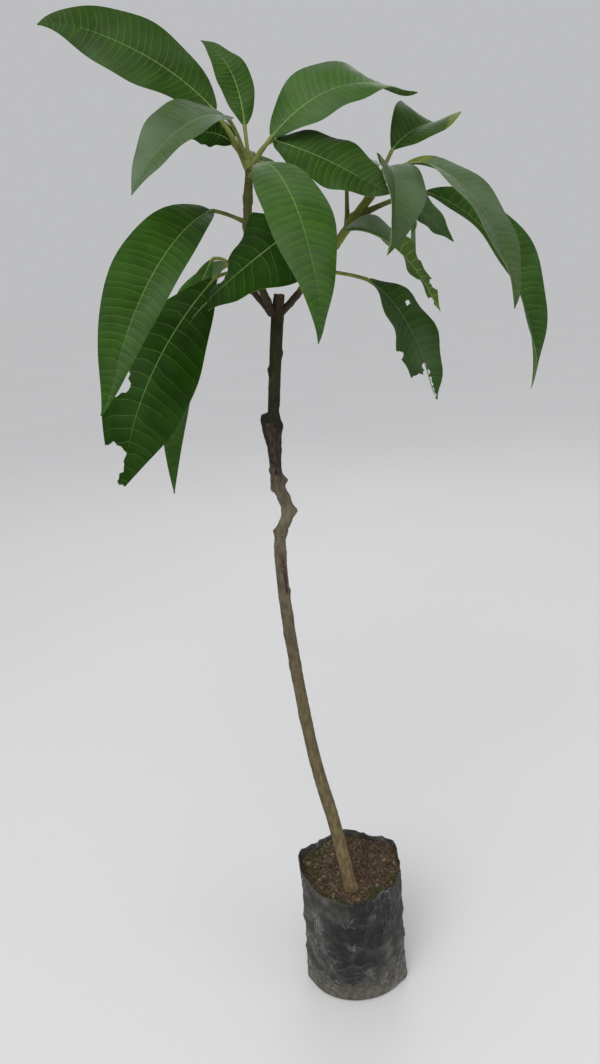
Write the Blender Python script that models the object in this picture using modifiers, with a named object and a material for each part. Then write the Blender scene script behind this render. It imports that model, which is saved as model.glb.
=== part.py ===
"""A grafted mango sapling that stands in its black nursery bag.

Metres, +Z up. The origin is the centre of the bag's flat foot. The front of
the plant faces -Y, and its longest leaves arch out towards +X.
"""

import math
from collections import namedtuple

import bmesh
import bpy
from mathutils import Matrix, Vector

MM = 0.001
GAP = 0.3 * MM

# Nursery bag: a six inch lay-flat tube of black film, gathered flat at its foot
BAG_RADIUS = 48.5 * MM
BAG_FOOT_RADIUS = 46.0 * MM
BAG_HEIGHT = 130.0 * MM
BAG_GATHER = 11.0 * MM          # how far the foot is drawn in, front and back
BAG_GATHER_HEIGHT = 80.0 * MM   # the height where that ends
BAG_RISE_STEPS = 5
BAG_WALL = 1.0 * MM
BAG_CORNER_STEPS = 5
BAG_SIDES = 40

# Soil: level round the stem, higher along the film
SOIL_TOP = 118.0 * MM
SOIL_LEVEL_RADIUS = 31.0 * MM
SOIL_EDGE_RISE = 4.0 * MM
MERGE = 0.05 * MM

# Limbs, all in millimetres: bends that the axis runs through, then girth and swellings
Limb = namedtuple("Limb", "bends girth swellings steps roundness")

# A swelling: where along the limb, extra radius, and its reach before and after that place
Swelling = namedtuple("Swelling", "place extra before after")

TRUNK = Limb(
    bends=[(-1.4, -18.7, 118.3), (-11, -15, 185), (-24, -11, 255), (-32, -7, 326), (-37, -3, 395),
           (-38, 0, 446), (-35, 1.5, 469), (-28.5, 2.5, 486), (-34.5, 4, 511), (-34.5, 5.5, 540),
           (-32.5, 7, 566), (-25.5, 10.5, 621), (-20, 12.5, 656)],
    girth=[(0.0, 5.9), (0.2, 5.8), (0.28, 5.3), (0.62, 4.9), (0.9, 4.7), (0.965, 5.0), (1.0, 4.0)],
    swellings=[Swelling(0.0, 1.3, 0.01, 0.022), Swelling(0.43, 0.5, 0.012, 0.012),
               Swelling(0.65, 0.6, 0.012, 0.01), Swelling(0.685, 0.6, 0.012, 0.01),
               Swelling(0.733, 1.0, 0.012, 0.01), Swelling(0.822, 0.8, 0.062, 0.012)],
    steps=48, roundness=4)

BOUGHS = {
    "bough_left_tall": Limb(
        bends=[(-24, 11, 636), (-31, 8, 655), (-37, 3, 676), (-38.6, 0, 701), (-36.6, 0, 722), (-35, 0, 732)],
        girth=[(0.0, 2.6), (0.3, 2.9), (0.55, 3.3), (1.0, 3.1)],
        swellings=[Swelling(0.52, 0.7, 0.06, 0.06), Swelling(0.72, 0.8, 0.05, 0.05),
                   Swelling(0.9, 0.6, 0.05, 0.05)],
        steps=20, roundness=3),
    "bough_left_short": Limb(
        bends=[(-27, 11, 641), (-34, 16, 651), (-43, 23, 663), (-49, 27, 672)],
        girth=[(0.0, 2.5), (1.0, 2.3)],
        swellings=[Swelling(0.6, 0.5, 0.08, 0.08)],
        steps=10, roundness=2),
    "bough_right": Limb(
        bends=[(-21, 12, 640), (-4, 12, 656), (13, 12, 676), (28, 12, 690), (43, 12, 707), (54, 10.5, 719)],
        girth=[(0.0, 2.7), (0.4, 2.7), (0.8, 3.3), (1.0, 3.3)],
        swellings=[Swelling(0.38, 0.8, 0.04, 0.04), Swelling(0.6, 0.7, 0.04, 0.04),
                   Swelling(0.82, 0.8, 0.04, 0.04)],
        steps=22, roundness=3),
}

# A leaf, lengths in millimetres and angles in degrees. Azimuth 0 is right, 90 back, 180 left, 270 front.
#   at       share along its limb where the stalk leaves it
#   stalk    stalk length, heading off at azimuth and rise
#   toward   azimuth of the blade at its base, which turns by sweep towards the tip
#   lift     slope of the blade at its base, which falls by droop, early or late along the blade
#   hook     how much further the last fifth of the blade bends down
#   turn     roll of the blade about its midrib from facing the light, which grows by twist
#            to the tip, early along the blade where late is under 1 and late where it is over 1
#   fold     how far each half is raised about the midrib
#   widest   1 puts the greatest width at mid length, less puts it nearer the base
#   lean     share by which the right half is wider than it would be, and the left half narrower
Leaf = namedtuple("Leaf", "name at stalk azimuth rise toward lift sweep droop early hook turn twist late "
                          "fold length width widest lean")

# A mass of foliage: the limb it belongs to, the length of the shoot that carries it on
# from the limb's tip (0 where its leaves leave the limb's side), and its leaves
Mass = namedtuple("Mass", "limb shoot leaves")

MASSES = {
    "foliage_top_left": Mass("bough_left_tall", 13, [
        Leaf("upper_left", 0.80, 42, 187, 64, 183, 52, 2, 40, 0.8, 30, -16, 45, 1, 10, 130, 51, 0.82, 0),
        Leaf("left", 0.70, 38, 236, 69, 236, 9, -28, 66, 0.7, 0, -15, 10, 1, 18, 104, 43, 0.66, 0.1),
        Leaf("upright", 0.80, 28, 104, 83, 92, 68, 58, 36, 1.5, 0, 0, 6, 1, 12, 82, 25, 0.90, 0),
        Leaf("small_left", 0.70, 20, 190, 64, 160, 48, 26, 74, 1, 0, 0, 0, 1, 10, 38, 26, 0.85, 0),
        Leaf("upper_right", 0.75, 25, 344, 47, 355, 42, 26, 77, 1.35, -45, 0, 75, 3, 6, 118, 51, 1.00, -0.2),
        Leaf("right", 0.40, 30, 4, 65, 342, -21, -12, 17, 1, -30, 6, -9, 1.5, 10, 96, 48, 0.87, 0),
        Leaf("front", 0.30, 23, 299, 18, 293, 4, 4, 97, 0.55, 35, 10, 50, 2.3, 7, 153, 51, 0.87, 0),
        Leaf("back", 0.45, 26, 80, 48, 76, 8, 10, 62, 0.6, 0, 0, 0, 1, 10, 150, 46, 0.85, 0),
    ]),
    "foliage_middle_left": Mass("bough_left_tall", 0, [
        Leaf("large_left", 0.74, 28, 188, 27, 234, -9, -12, 61, 0.6,
             -20, -3, 18, 0.7, 18, 179, 46, 0.75, 0.2),
    ]),
    "foliage_low_left": Mass("bough_left_short", 5, [
        Leaf("lower_left", 0.60, 19, 204, -4, 208, -38, -12, 39, 1, 0, -4, 0, 1, 6, 182, 71, 1.05, -0.04),
        Leaf("lower_left_behind", 0.70, 27, 134, 40, 158, -42, 66, 43, 0.4, 0, 0, 0, 1, 10, 198, 28, 0.85, 0),
        Leaf("lower_left_back", 0.50, 24, 110, 20, 128, -12, 10, 50, 0.6, 0, 0, 0, 1, 10, 140, 44, 0.85, 0),
    ]),
    "foliage_centre": Mass("bough_right", 0, [
        Leaf("centre", 0.34, 52, 277, 53, 202, -25, -58, 11, 0.35, 6, 8, -41, 0.55, -3, 102, 70, 0.31, 0),
    ]),
    "foliage_low_right": Mass("bough_right", 0, [
        Leaf("lower_right", 0.385, 42, 3, -10, 18, -30, 6, 51, 0.65,
             -25, 18, -30, 2.2, 17, 118, 49, 0.98, 0.1),
    ]),
    "foliage_hanging_right": Mass("bough_right", 0, [
        Leaf("hanging", 0.60, 13, 0, 50, -30, 28, -7, 96, 0.4, -10, 35, 55, 0.5, 16, 101, 44, 0.68, 0),
    ]),
    "foliage_back_right": Mass("bough_right", 0, [
        Leaf("back_right", 0.74, 34, 80, 72, 80, 30, -10, 34, 1, 0, 0, 0, 1, 10, 140, 42, 0.85, 0),
    ]),
    "foliage_far_right": Mass("bough_right", 0, [
        Leaf("far_right", 0.82, 53, -9, 20, 3, -11, -16, 84, 0.67, 6, 5, 58, 1.9, 26, 183, 50, 0.97, -0.15),
    ]),
    "foliage_top_right": Mass("bough_right", 7, [
        Leaf("small_top", 0.60, 30, 31, 60, 18, 52, 45, 61, 0.67, 0, -4, 72, 1.9, 26, 73, 56, 1.24, -0.05),
        Leaf("front_right", 0.60, 18, 297, 48, 286, 15, -59, 90, 0.47, -25, 20, 55, 2.1, 33, 89, 46, 0.80, 0),
        Leaf("behind_front", 0.50, 14, 36, 0, 34, -12, -15, 35, 0.7, 0, 0, 0, 1, 15, 72, 28, 0.85, 0),
        Leaf("arching_right", 0.70, 25, 346, 32, 317, 27, -1, 106, 0.41,
             22, 13, 20, 0.4, 19, 147, 43, 0.96, 0),
        Leaf("back_top", 0.50, 22, 70, 30, 66, 10, 6, 56, 0.7, 0, 0, 0, 1, 10, 136, 42, 0.85, 0),
    ]),
}

# Round bites out of a blade: leaf, share along it, place across it (1 is the right margin
# when the blade is seen from above with its tip ahead), radius in millimetres
BITES = [
    ("lower_left", 0.57, 0.8, 14), ("lower_left", 0.89, 1.0, 14), ("lower_left", 1.00, -0.1, 4),
    ("centre", 0.60, 1.0, 9), ("centre", 0.80, 0.9, 6), ("centre", 0.86, -1.0, 9),
    ("lower_right", 0.66, 1.0, 5), ("lower_right", 0.84, 0.2, 4), ("lower_right", 0.92, 0.75, 8),
    ("hanging", 0.62, 0.95, 5), ("hanging", 0.82, 0.9, 4),
]

# The crown's blades turn their upper faces this way
LIGHT = Vector((0.10, -0.80, 0.60)).normalized()

BLADE_ROWS = 11
BLADE_COLUMNS = 4
BLADE_THICKNESS = 0.011          # share of the blade's length
BLADE_ARCH = 0.12                # how far the margins bend down, share of the half width
BASE_FULLNESS = 0.75             # less rounds the blade out towards its base
TIP_FULLNESS = 0.95              # more draws it out towards its tip
LEAST_HALF_WIDTH = 0.6 * MM
HOOK_FROM = 0.8                  # where a hooked tip starts to bend down
STALK_STEPS = 6
STALK_RADIUS = 1.5 * MM
STALK_FOOT_RADIUS = 2.1 * MM
STALK_RUNS_IN = 0.12             # share of the blade that the stalk runs on into
SHOOT_SHARE = 0.95               # radius of a shoot, share of the limb's tip

FILM_BLACK = ("film", (0.020, 0.020, 0.022), 0.45)
SOIL_BROWN = ("soil", (0.090, 0.062, 0.040), 0.95)
BARK_BROWN = ("bark", (0.150, 0.115, 0.070), 0.85)
YOUNG_BARK = ("young_bark", (0.150, 0.160, 0.050), 0.60)
LEAF_GREEN = ("leaf", (0.040, 0.130, 0.025), 0.42)


def clear_scene():
    for piece in list(bpy.data.objects):
        bpy.data.objects.remove(piece, do_unlink=True)


def clear_collection(collection):
    for piece in list(collection.objects):
        bpy.data.objects.remove(piece, do_unlink=True)


def new_collection(name):
    collection = bpy.data.collections.new(name)
    bpy.context.scene.collection.children.link(collection)
    return collection


def add_object(name, data, collection):
    piece = bpy.data.objects.new(name, data)
    collection.objects.link(piece)
    return piece


def finish_mesh(mesh, look, smooth_angle=40):
    """Gives the mesh its material and smooth shading."""
    name, colour, roughness = look
    material = bpy.data.materials.get(name) or bpy.data.materials.new(name)
    material.use_nodes = True
    shader = material.node_tree.nodes["Principled BSDF"]
    shader.inputs["Base Color"].default_value = (*colour, 1.0)
    shader.inputs["Roughness"].default_value = roughness
    shader.inputs["Metallic"].default_value = 0.0
    mesh.materials.clear()
    mesh.materials.append(material)
    mesh.shade_smooth()
    mesh.set_sharp_from_angle(angle=math.radians(smooth_angle))


def evaluated_mesh(piece):
    """The piece's mesh with its modifiers applied and its loose caps welded."""
    depsgraph = bpy.context.evaluated_depsgraph_get()
    mesh = bpy.data.meshes.new_from_object(piece.evaluated_get(depsgraph))
    shape = bmesh.new()
    shape.from_mesh(mesh)
    bmesh.ops.remove_doubles(shape, verts=shape.verts, dist=0.001 * MM)
    shape.to_mesh(mesh)
    shape.free()
    return mesh


def make_solid(piece, name, collection):
    """Replaces a curve or a piece with modifiers by a plain mesh object."""
    solid = add_object(name, evaluated_mesh(piece), collection)
    solid.matrix_world = piece.matrix_world
    bpy.data.objects.remove(piece, do_unlink=True)
    return solid


def add_boolean(piece, operation, other):
    """Joins or cuts the piece with an object or a whole collection."""
    modifier = piece.modifiers.new(operation.lower(), "BOOLEAN")
    modifier.operation = operation
    modifier.solver = "EXACT"
    if isinstance(other, bpy.types.Collection):
        modifier.operand_type = "COLLECTION"
        modifier.collection = other
    else:
        modifier.object = other


def hide_cutter(piece):
    piece.hide_render = True
    piece.display_type = "WIRE"


# Turned pieces

def film_line(inset, rim_height):
    """Half section of the bag's skin from the foot's centre to the rim, inset from its outside."""
    corner = BAG_RADIUS - BAG_FOOT_RADIUS
    line = [(0.0, inset)]
    for step in range(BAG_CORNER_STEPS + 1):
        turn = math.radians(90.0) * step / BAG_CORNER_STEPS
        line.append((BAG_FOOT_RADIUS + (corner - inset) * math.sin(turn),
                     corner - (corner - inset) * math.cos(turn)))
    for step in range(1, BAG_RISE_STEPS + 1):
        line.append((BAG_RADIUS - inset, corner + (rim_height - corner) * step / BAG_RISE_STEPS))
    return line


def gather_foot(mesh):
    """Draws the foot in, front and back, by as much inside the film as outside it."""
    for vertex in mesh.vertices:
        out = math.hypot(vertex.co.x, vertex.co.y)
        if out > MERGE:
            low = max(0.0, 1.0 - vertex.co.z / BAG_GATHER_HEIGHT)
            vertex.co.y -= BAG_GATHER * low * low * vertex.co.y / out


def turned(name, profile, look, collection):
    """Turns a profile, given as radius and height, about the vertical axis."""
    mesh = bpy.data.meshes.new(name)
    points = [(radius, 0.0, height) for radius, height in profile]
    edges = [(index, index + 1) for index in range(len(points) - 1)]
    mesh.from_pydata(points, edges, [])
    piece = add_object(name + "_profile", mesh, collection)
    screw = piece.modifiers.new("turn", "SCREW")
    screw.steps = BAG_SIDES
    screw.render_steps = BAG_SIDES
    screw.use_merge_vertices = True
    screw.merge_threshold = MERGE
    solid = make_solid(piece, name, collection)
    gather_foot(solid.data)
    finish_mesh(solid.data, look)
    return solid


def make_bag(collection):
    outside = film_line(0.0, BAG_HEIGHT)
    inside = film_line(BAG_WALL, BAG_HEIGHT)
    turned("bag", inside + outside[::-1], FILM_BLACK, collection)


def make_soil(collection):
    side = film_line(BAG_WALL + GAP, SOIL_TOP + SOIL_EDGE_RISE)
    top = [(0.0, SOIL_TOP), (SOIL_LEVEL_RADIUS, SOIL_TOP)]
    turned("soil", top + side[::-1], SOIL_BROWN, collection)


# Limbs

def smooth_path(bends, steps):
    """Points evenly spread in parameter on a smooth curve through the bends (Catmull-Rom)."""
    knots = [Vector(bend) * MM for bend in bends]
    knots = [2 * knots[0] - knots[1]] + knots + [2 * knots[-1] - knots[-2]]
    spans = len(knots) - 3
    points = []
    for step in range(steps + 1):
        place = min(step / steps * spans, spans - 1e-9)
        span = int(place)
        t = place - span
        a, b, c, d = knots[span:span + 4]
        points.append(0.5 * (2 * b + (c - a) * t + (2 * a - 5 * b + 4 * c - d) * t ** 2
                             + (3 * b - a - 3 * c + d) * t ** 3))
    return points


def shares(points):
    """How far along the path each point lies, from 0 to 1."""
    lengths = [0.0]
    for before, after in zip(points, points[1:]):
        lengths.append(lengths[-1] + (after - before).length)
    return [length / lengths[-1] for length in lengths]


def point_at(points, share):
    """The point at a share of the path's length."""
    along = shares(points)
    for index in range(len(points) - 1):
        if share <= along[index + 1]:
            part = (share - along[index]) / (along[index + 1] - along[index])
            return points[index].lerp(points[index + 1], part)
    return points[-1]


def girth_at(limb, share):
    """Radius of the limb in metres: its taper, with each swelling added."""
    radius = limb.girth[-1][1]
    for (low, thick), (high, thin) in zip(limb.girth, limb.girth[1:]):
        if low <= share <= high:
            radius = thick + (thin - thick) * (share - low) / (high - low)
            break
    for swelling in limb.swellings:
        distance = share - swelling.place
        reach = swelling.after if distance > 0 else swelling.before
        if abs(distance) < reach:
            radius += swelling.extra * (1 - (distance / reach) ** 2) ** 2
    return radius * MM


def make_tube(name, points, radii, roundness, collection):
    """A round closed limb along the points, flat at both ends."""
    curve = bpy.data.curves.new(name, "CURVE")
    curve.dimensions = "3D"
    curve.bevel_depth = MM
    curve.bevel_resolution = roundness
    curve.use_fill_caps = True
    spline = curve.splines.new("POLY")
    spline.points.add(len(points) - 1)
    for knot, point, radius in zip(spline.points, points, radii):
        knot.co = (*point, 1.0)
        knot.radius = radius / MM
    return make_solid(add_object(name + "_line", curve, collection), name, collection)


def make_limb(name, limb, look, collection, grown=0.0):
    """A limb from its bends and girth. Grown by the gap it serves as a cutter."""
    points = smooth_path(limb.bends, limb.steps)
    radii = [girth_at(limb, share) + grown for share in shares(points)]
    solid = make_tube(name, points, radii, limb.roundness, collection)
    finish_mesh(solid.data, look)
    return solid


def level_foot(points, rise):
    """Stands the path's first stretch upright, so that the limb's foot is cut level."""
    foot = points[0]
    return [foot, foot + Vector((0.0, 0.0, rise))] + points[1:]


def make_trunk(collection):
    points = level_foot(smooth_path(TRUNK.bends, TRUNK.steps), 2.0 * MM)
    radii = [girth_at(TRUNK, share) for share in shares(points)]
    trunk = make_tube("trunk", points, radii, TRUNK.roundness, collection)
    finish_mesh(trunk.data, BARK_BROWN)
    return trunk


def make_bough(name, limb, neighbours, collection, cutters):
    """A bough that starts at the trunk's side, cut clear of the trunk and of its neighbours."""
    bough = make_limb(name + "_whole", limb, YOUNG_BARK, collection)
    for neighbour in neighbours:
        add_boolean(bough, "DIFFERENCE", make_limb("neighbour", neighbour, YOUNG_BARK, cutters, grown=GAP))
    solid = make_solid(bough, name, collection)
    clear_collection(cutters)
    keep_largest(solid.data)
    finish_mesh(solid.data, YOUNG_BARK)


def keep_largest(mesh):
    """Drops any loose scrap that a cut has left beside the main body."""
    shape = bmesh.new()
    shape.from_mesh(mesh)
    unseen = set(shape.verts)
    bodies = []
    while unseen:
        body = [unseen.pop()]
        for vertex in body:
            for edge in vertex.link_edges:
                other = edge.other_vert(vertex)
                if other in unseen:
                    unseen.remove(other)
                    body.append(other)
        bodies.append(body)
    bodies.sort(key=len)
    scraps = [vertex for body in bodies[:-1] for vertex in body]
    bmesh.ops.delete(shape, geom=scraps, context="VERTS")
    shape.to_mesh(mesh)
    shape.free()


# Leaves

def heading(azimuth, elevation):
    """Unit vector along a compass angle and a slope, both in degrees."""
    turn = math.radians(azimuth)
    slope = math.radians(elevation)
    level = math.cos(slope)
    return Vector((level * math.cos(turn), level * math.sin(turn), math.sin(slope)))


def nearest_turn(start, end):
    """The end angle as it is reached from the start by the shorter way round."""
    return start + (end - start + 180.0) % 360.0 - 180.0


def stalk_points(leaf, root):
    """The stalk's axis from its root on the limb to the blade's base."""
    swing = nearest_turn(leaf.azimuth, leaf.toward) - leaf.azimuth
    points = [root]
    for step in range(STALK_STEPS):
        t = (step + 0.5) / STALK_STEPS
        way = heading(leaf.azimuth + 0.6 * swing * t, leaf.rise + 0.6 * (leaf.lift - leaf.rise) * t * t)
        points.append(points[-1] + way * leaf.stalk * MM / STALK_STEPS)
    return points


def midrib(leaf, base, rows):
    """Points and directions along the midrib, from the blade's base to its tip."""
    def way(t):
        hooked = leaf.hook * max(0.0, (t - HOOK_FROM) / (1.0 - HOOK_FROM)) ** 2
        return heading(leaf.toward + leaf.sweep * t, leaf.lift - leaf.droop * t ** leaf.early - hooked)

    points = [base]
    for row in range(rows):
        points.append(points[-1] + way((row + 0.5) / rows) * leaf.length * MM / rows)
    return points, [way(row / rows) for row in range(rows + 1)]


def half_width(leaf, share):
    """Half the blade's width at a share of its length."""
    place = share ** leaf.widest
    fullness = BASE_FULLNESS if place < 0.5 else TIP_FULLNESS
    half = 0.5 * leaf.width * MM * max(0.0, math.sin(math.pi * place)) ** fullness
    return max(half, LEAST_HALF_WIDTH)


def blade_sides(leaf, share, along):
    """Unit vectors across the blade and out of its upper face, at a share of its length."""
    up = (LIGHT - LIGHT.dot(along) * along).normalized()
    side = along.cross(up)
    roll = math.radians(leaf.turn + leaf.twist * share ** leaf.late)
    return (side * math.cos(roll) + up * math.sin(roll),
            up * math.cos(roll) - side * math.sin(roll))


def blade_point(leaf, centre, along, share, across):
    """A point of the blade's surface, across from -1 at the left margin to 1 at the right."""
    side, up = blade_sides(leaf, share, along)
    half = half_width(leaf, share)
    fold = math.radians(leaf.fold)
    level = across * (1.0 + math.copysign(leaf.lean, across)) * math.cos(fold)
    raised = abs(across) * math.sin(fold) - BLADE_ARCH * across * across
    return centre + side * half * level + up * half * raised


def make_blade(leaf, base, collection):
    """The blade as a thin closed sheet bent along its midrib."""
    points, ways = midrib(leaf, base, BLADE_ROWS)
    shape = bmesh.new()
    bmesh.ops.create_grid(shape, x_segments=BLADE_COLUMNS, y_segments=BLADE_ROWS, size=1.0)
    for vertex in shape.verts:
        row = round((vertex.co.y + 1.0) / 2.0 * BLADE_ROWS)
        vertex.co = blade_point(leaf, points[row], ways[row], row / BLADE_ROWS, vertex.co.x)
    mesh = bpy.data.meshes.new(leaf.name)
    shape.to_mesh(mesh)
    shape.free()
    blade = add_object(leaf.name + "_blade", mesh, collection)
    solidify = blade.modifiers.new("thickness", "SOLIDIFY")
    solidify.thickness = BLADE_THICKNESS * leaf.length * MM
    solidify.offset = 0.0
    return blade


def bite_cutters(leaf, base, cutters):
    """Upright round punches at the places where the blade is eaten away."""
    made = []
    rows = 100
    points, ways = midrib(leaf, base, rows)
    for name, share, across, radius in BITES:
        if name != leaf.name:
            continue
        row = round(share * rows)
        side, up = blade_sides(leaf, share, ways[row])
        centre = blade_point(leaf, points[row], ways[row], share, across)
        shape = bmesh.new()
        bmesh.ops.create_cone(shape, cap_ends=True, segments=10, radius1=radius * MM,
                              radius2=radius * MM, depth=radius * MM * 1.5)
        mesh = bpy.data.meshes.new(leaf.name + "_bite")
        shape.to_mesh(mesh)
        shape.free()
        punch = add_object(leaf.name + "_bite", mesh, cutters)
        frame = Matrix((side, ways[row], up)).transposed().to_4x4()
        punch.matrix_world = Matrix.Translation(centre) @ frame
        hide_cutter(punch)
        made.append(punch)
    return made


def make_leaf(leaf, root, collection, cutters):
    """A stalk and its blade, ready to be joined to their shoot."""
    stalk = stalk_points(leaf, root)
    blade = make_blade(leaf, stalk[-1], collection)
    for punch in bite_cutters(leaf, stalk[-1], cutters):
        add_boolean(blade, "DIFFERENCE", punch)
    rib, _ = midrib(leaf, stalk[-1], BLADE_ROWS)
    runs_in = [point_at(rib, STALK_RUNS_IN * part) for part in (0.5, 1.0)]
    line = stalk + runs_in
    radii = [STALK_FOOT_RADIUS] + [STALK_RADIUS] * (len(line) - 1)
    make_tube(leaf.name + "_stalk", line, radii, 1, collection)
    make_solid(blade, leaf.name, collection)
    clear_collection(cutters)


def shoot_line(limb, length):
    """The shoot that goes on from a limb's tip, a gap beyond its end."""
    points = smooth_path(limb.bends, limb.steps)
    way = (points[-1] - points[-2]).normalized()
    foot = points[-1] + way * GAP
    return [foot, foot + way * length * MM / 2, foot + way * length * MM]


def make_mass(name, mass, collection, cutters):
    """One mass: its leaves joined to one shoot, or to a stalk that stands clear of the limb."""
    limb = BOUGHS[mass.limb]
    leaves = new_collection(name + "_leaves")
    axis = shoot_line(limb, mass.shoot) if mass.shoot else smooth_path(limb.bends, limb.steps)
    for leaf in mass.leaves:
        make_leaf(leaf, point_at(axis, leaf.at), leaves, cutters)
    if mass.shoot:
        radius = girth_at(limb, 1.0) * SHOOT_SHARE
        core = make_tube(name + "_shoot", axis, [radius] * len(axis), 2, collection)
    else:
        core = leaves.objects[mass.leaves[0].name]
        leaves.objects.unlink(core)
        collection.objects.link(core)
    add_boolean(core, "UNION", leaves)
    if not mass.shoot:
        cutter = make_limb("limb_cutter", limb, YOUNG_BARK, cutters, grown=GAP)
        add_boolean(core, "DIFFERENCE", cutter)
    solid = make_solid(core, name, collection)
    clear_collection(leaves)
    clear_collection(cutters)
    bpy.data.collections.remove(leaves)
    keep_largest(solid.data)
    finish_mesh(solid.data, LEAF_GREEN, smooth_angle=60)


def main():
    clear_scene()
    sapling = new_collection("mango_sapling")
    cutters = new_collection("cutters")
    make_bag(sapling)
    make_soil(sapling)
    make_trunk(sapling)
    neighbours = [TRUNK]
    for name, limb in BOUGHS.items():
        make_bough(name, limb, neighbours, sapling, cutters)
        neighbours.append(limb)
    for name, mass in MASSES.items():
        make_mass(name, mass, sapling, cutters)


main()
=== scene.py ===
"""The looks of a grafted mango sapling in its black nursery bag.

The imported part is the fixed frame. Every limb, leaf and the bag grow here again by the
part's own rule, in finer steps and with their real surface, within the same reach.
Metres, +Z up, the plant's front faces -Y.
"""

import math
import random
from collections import namedtuple

import bmesh
import bpy
import numpy as np
from mathutils import Matrix, Vector, noise


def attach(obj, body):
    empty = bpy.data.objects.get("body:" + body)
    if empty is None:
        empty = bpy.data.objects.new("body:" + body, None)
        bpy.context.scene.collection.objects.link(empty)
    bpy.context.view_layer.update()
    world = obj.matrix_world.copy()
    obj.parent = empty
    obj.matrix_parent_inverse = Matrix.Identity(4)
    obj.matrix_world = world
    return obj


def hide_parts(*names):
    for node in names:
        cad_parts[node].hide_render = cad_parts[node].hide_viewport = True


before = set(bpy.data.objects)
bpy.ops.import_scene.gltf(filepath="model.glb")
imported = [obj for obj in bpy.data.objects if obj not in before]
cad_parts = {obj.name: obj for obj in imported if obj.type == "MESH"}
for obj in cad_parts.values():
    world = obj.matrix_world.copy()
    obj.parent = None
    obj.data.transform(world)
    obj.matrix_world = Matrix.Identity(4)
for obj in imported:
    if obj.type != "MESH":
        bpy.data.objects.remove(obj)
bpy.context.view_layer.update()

MM = 0.001


# The part's rule: limbs in millimetres, with bends, girth and swellings

Limb = namedtuple("Limb", "bends girth swellings steps")
Swelling = namedtuple("Swelling", "place extra before after")

TRUNK = Limb(
    bends=[(-1.4, -18.7, 118.3), (-11, -15, 185), (-24, -11, 255), (-32, -7, 326), (-37, -3, 395),
           (-38, 0, 446), (-35, 1.5, 469), (-28.5, 2.5, 486), (-34.5, 4, 511), (-34.5, 5.5, 540),
           (-32.5, 7, 566), (-25.5, 10.5, 621), (-20, 12.5, 656)],
    girth=[(0.0, 5.9), (0.2, 5.8), (0.28, 5.3), (0.62, 4.9), (0.9, 4.7), (0.965, 5.0), (1.0, 4.0)],
    swellings=[Swelling(0.0, 1.3, 0.01, 0.022), Swelling(0.43, 0.5, 0.012, 0.012),
               Swelling(0.65, 0.6, 0.012, 0.01), Swelling(0.685, 0.6, 0.012, 0.01),
               Swelling(0.733, 1.0, 0.012, 0.01), Swelling(0.822, 0.8, 0.062, 0.012)],
    steps=48)

BOUGHS = {
    "bough_left_tall": Limb(
        bends=[(-24, 11, 636), (-31, 8, 655), (-37, 3, 676), (-38.6, 0, 701), (-36.6, 0, 722),
               (-35, 0, 732)],
        girth=[(0.0, 2.6), (0.3, 2.9), (0.55, 3.3), (1.0, 3.1)],
        swellings=[Swelling(0.52, 0.7, 0.06, 0.06), Swelling(0.72, 0.8, 0.05, 0.05),
                   Swelling(0.9, 0.6, 0.05, 0.05)],
        steps=20),
    "bough_left_short": Limb(
        bends=[(-27, 11, 641), (-34, 16, 651), (-43, 23, 663), (-49, 27, 672)],
        girth=[(0.0, 2.5), (1.0, 2.3)],
        swellings=[Swelling(0.6, 0.5, 0.08, 0.08)],
        steps=10),
    "bough_right": Limb(
        bends=[(-21, 12, 640), (-4, 12, 656), (13, 12, 676), (28, 12, 690), (43, 12, 707),
               (54, 10.5, 719)],
        girth=[(0.0, 2.7), (0.4, 2.7), (0.8, 3.3), (1.0, 3.3)],
        swellings=[Swelling(0.38, 0.8, 0.04, 0.04), Swelling(0.6, 0.7, 0.04, 0.04),
                   Swelling(0.82, 0.8, 0.04, 0.04)],
        steps=22),
}

# A leaf, lengths in millimetres and angles in degrees. Azimuth 0 is right, 90 back, 180 left
# and 270 front.
#   at       share along its limb where the stalk leaves it
#   stalk    stalk length, heading off at azimuth and rise
#   toward   azimuth of the blade at its base, which turns by sweep towards the tip
#   lift     slope of the blade at its base, which falls by droop, early or late along the blade
#   hook     how much further the last fifth of the blade bends down
#   turn     roll of the blade about its midrib from facing the light, which grows by twist
#            to the tip, early along the blade where late is under 1 and late where it is over 1
#   fold     how far each half is raised about the midrib
#   widest   1 puts the greatest width at mid length, less puts it nearer the base
#   lean     share by which the right half is wider than it would be, and the left half narrower
Leaf = namedtuple("Leaf", "name at stalk azimuth rise toward lift sweep droop early hook turn "
                          "twist late fold length width widest lean")
Mass = namedtuple("Mass", "limb shoot leaves")

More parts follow.
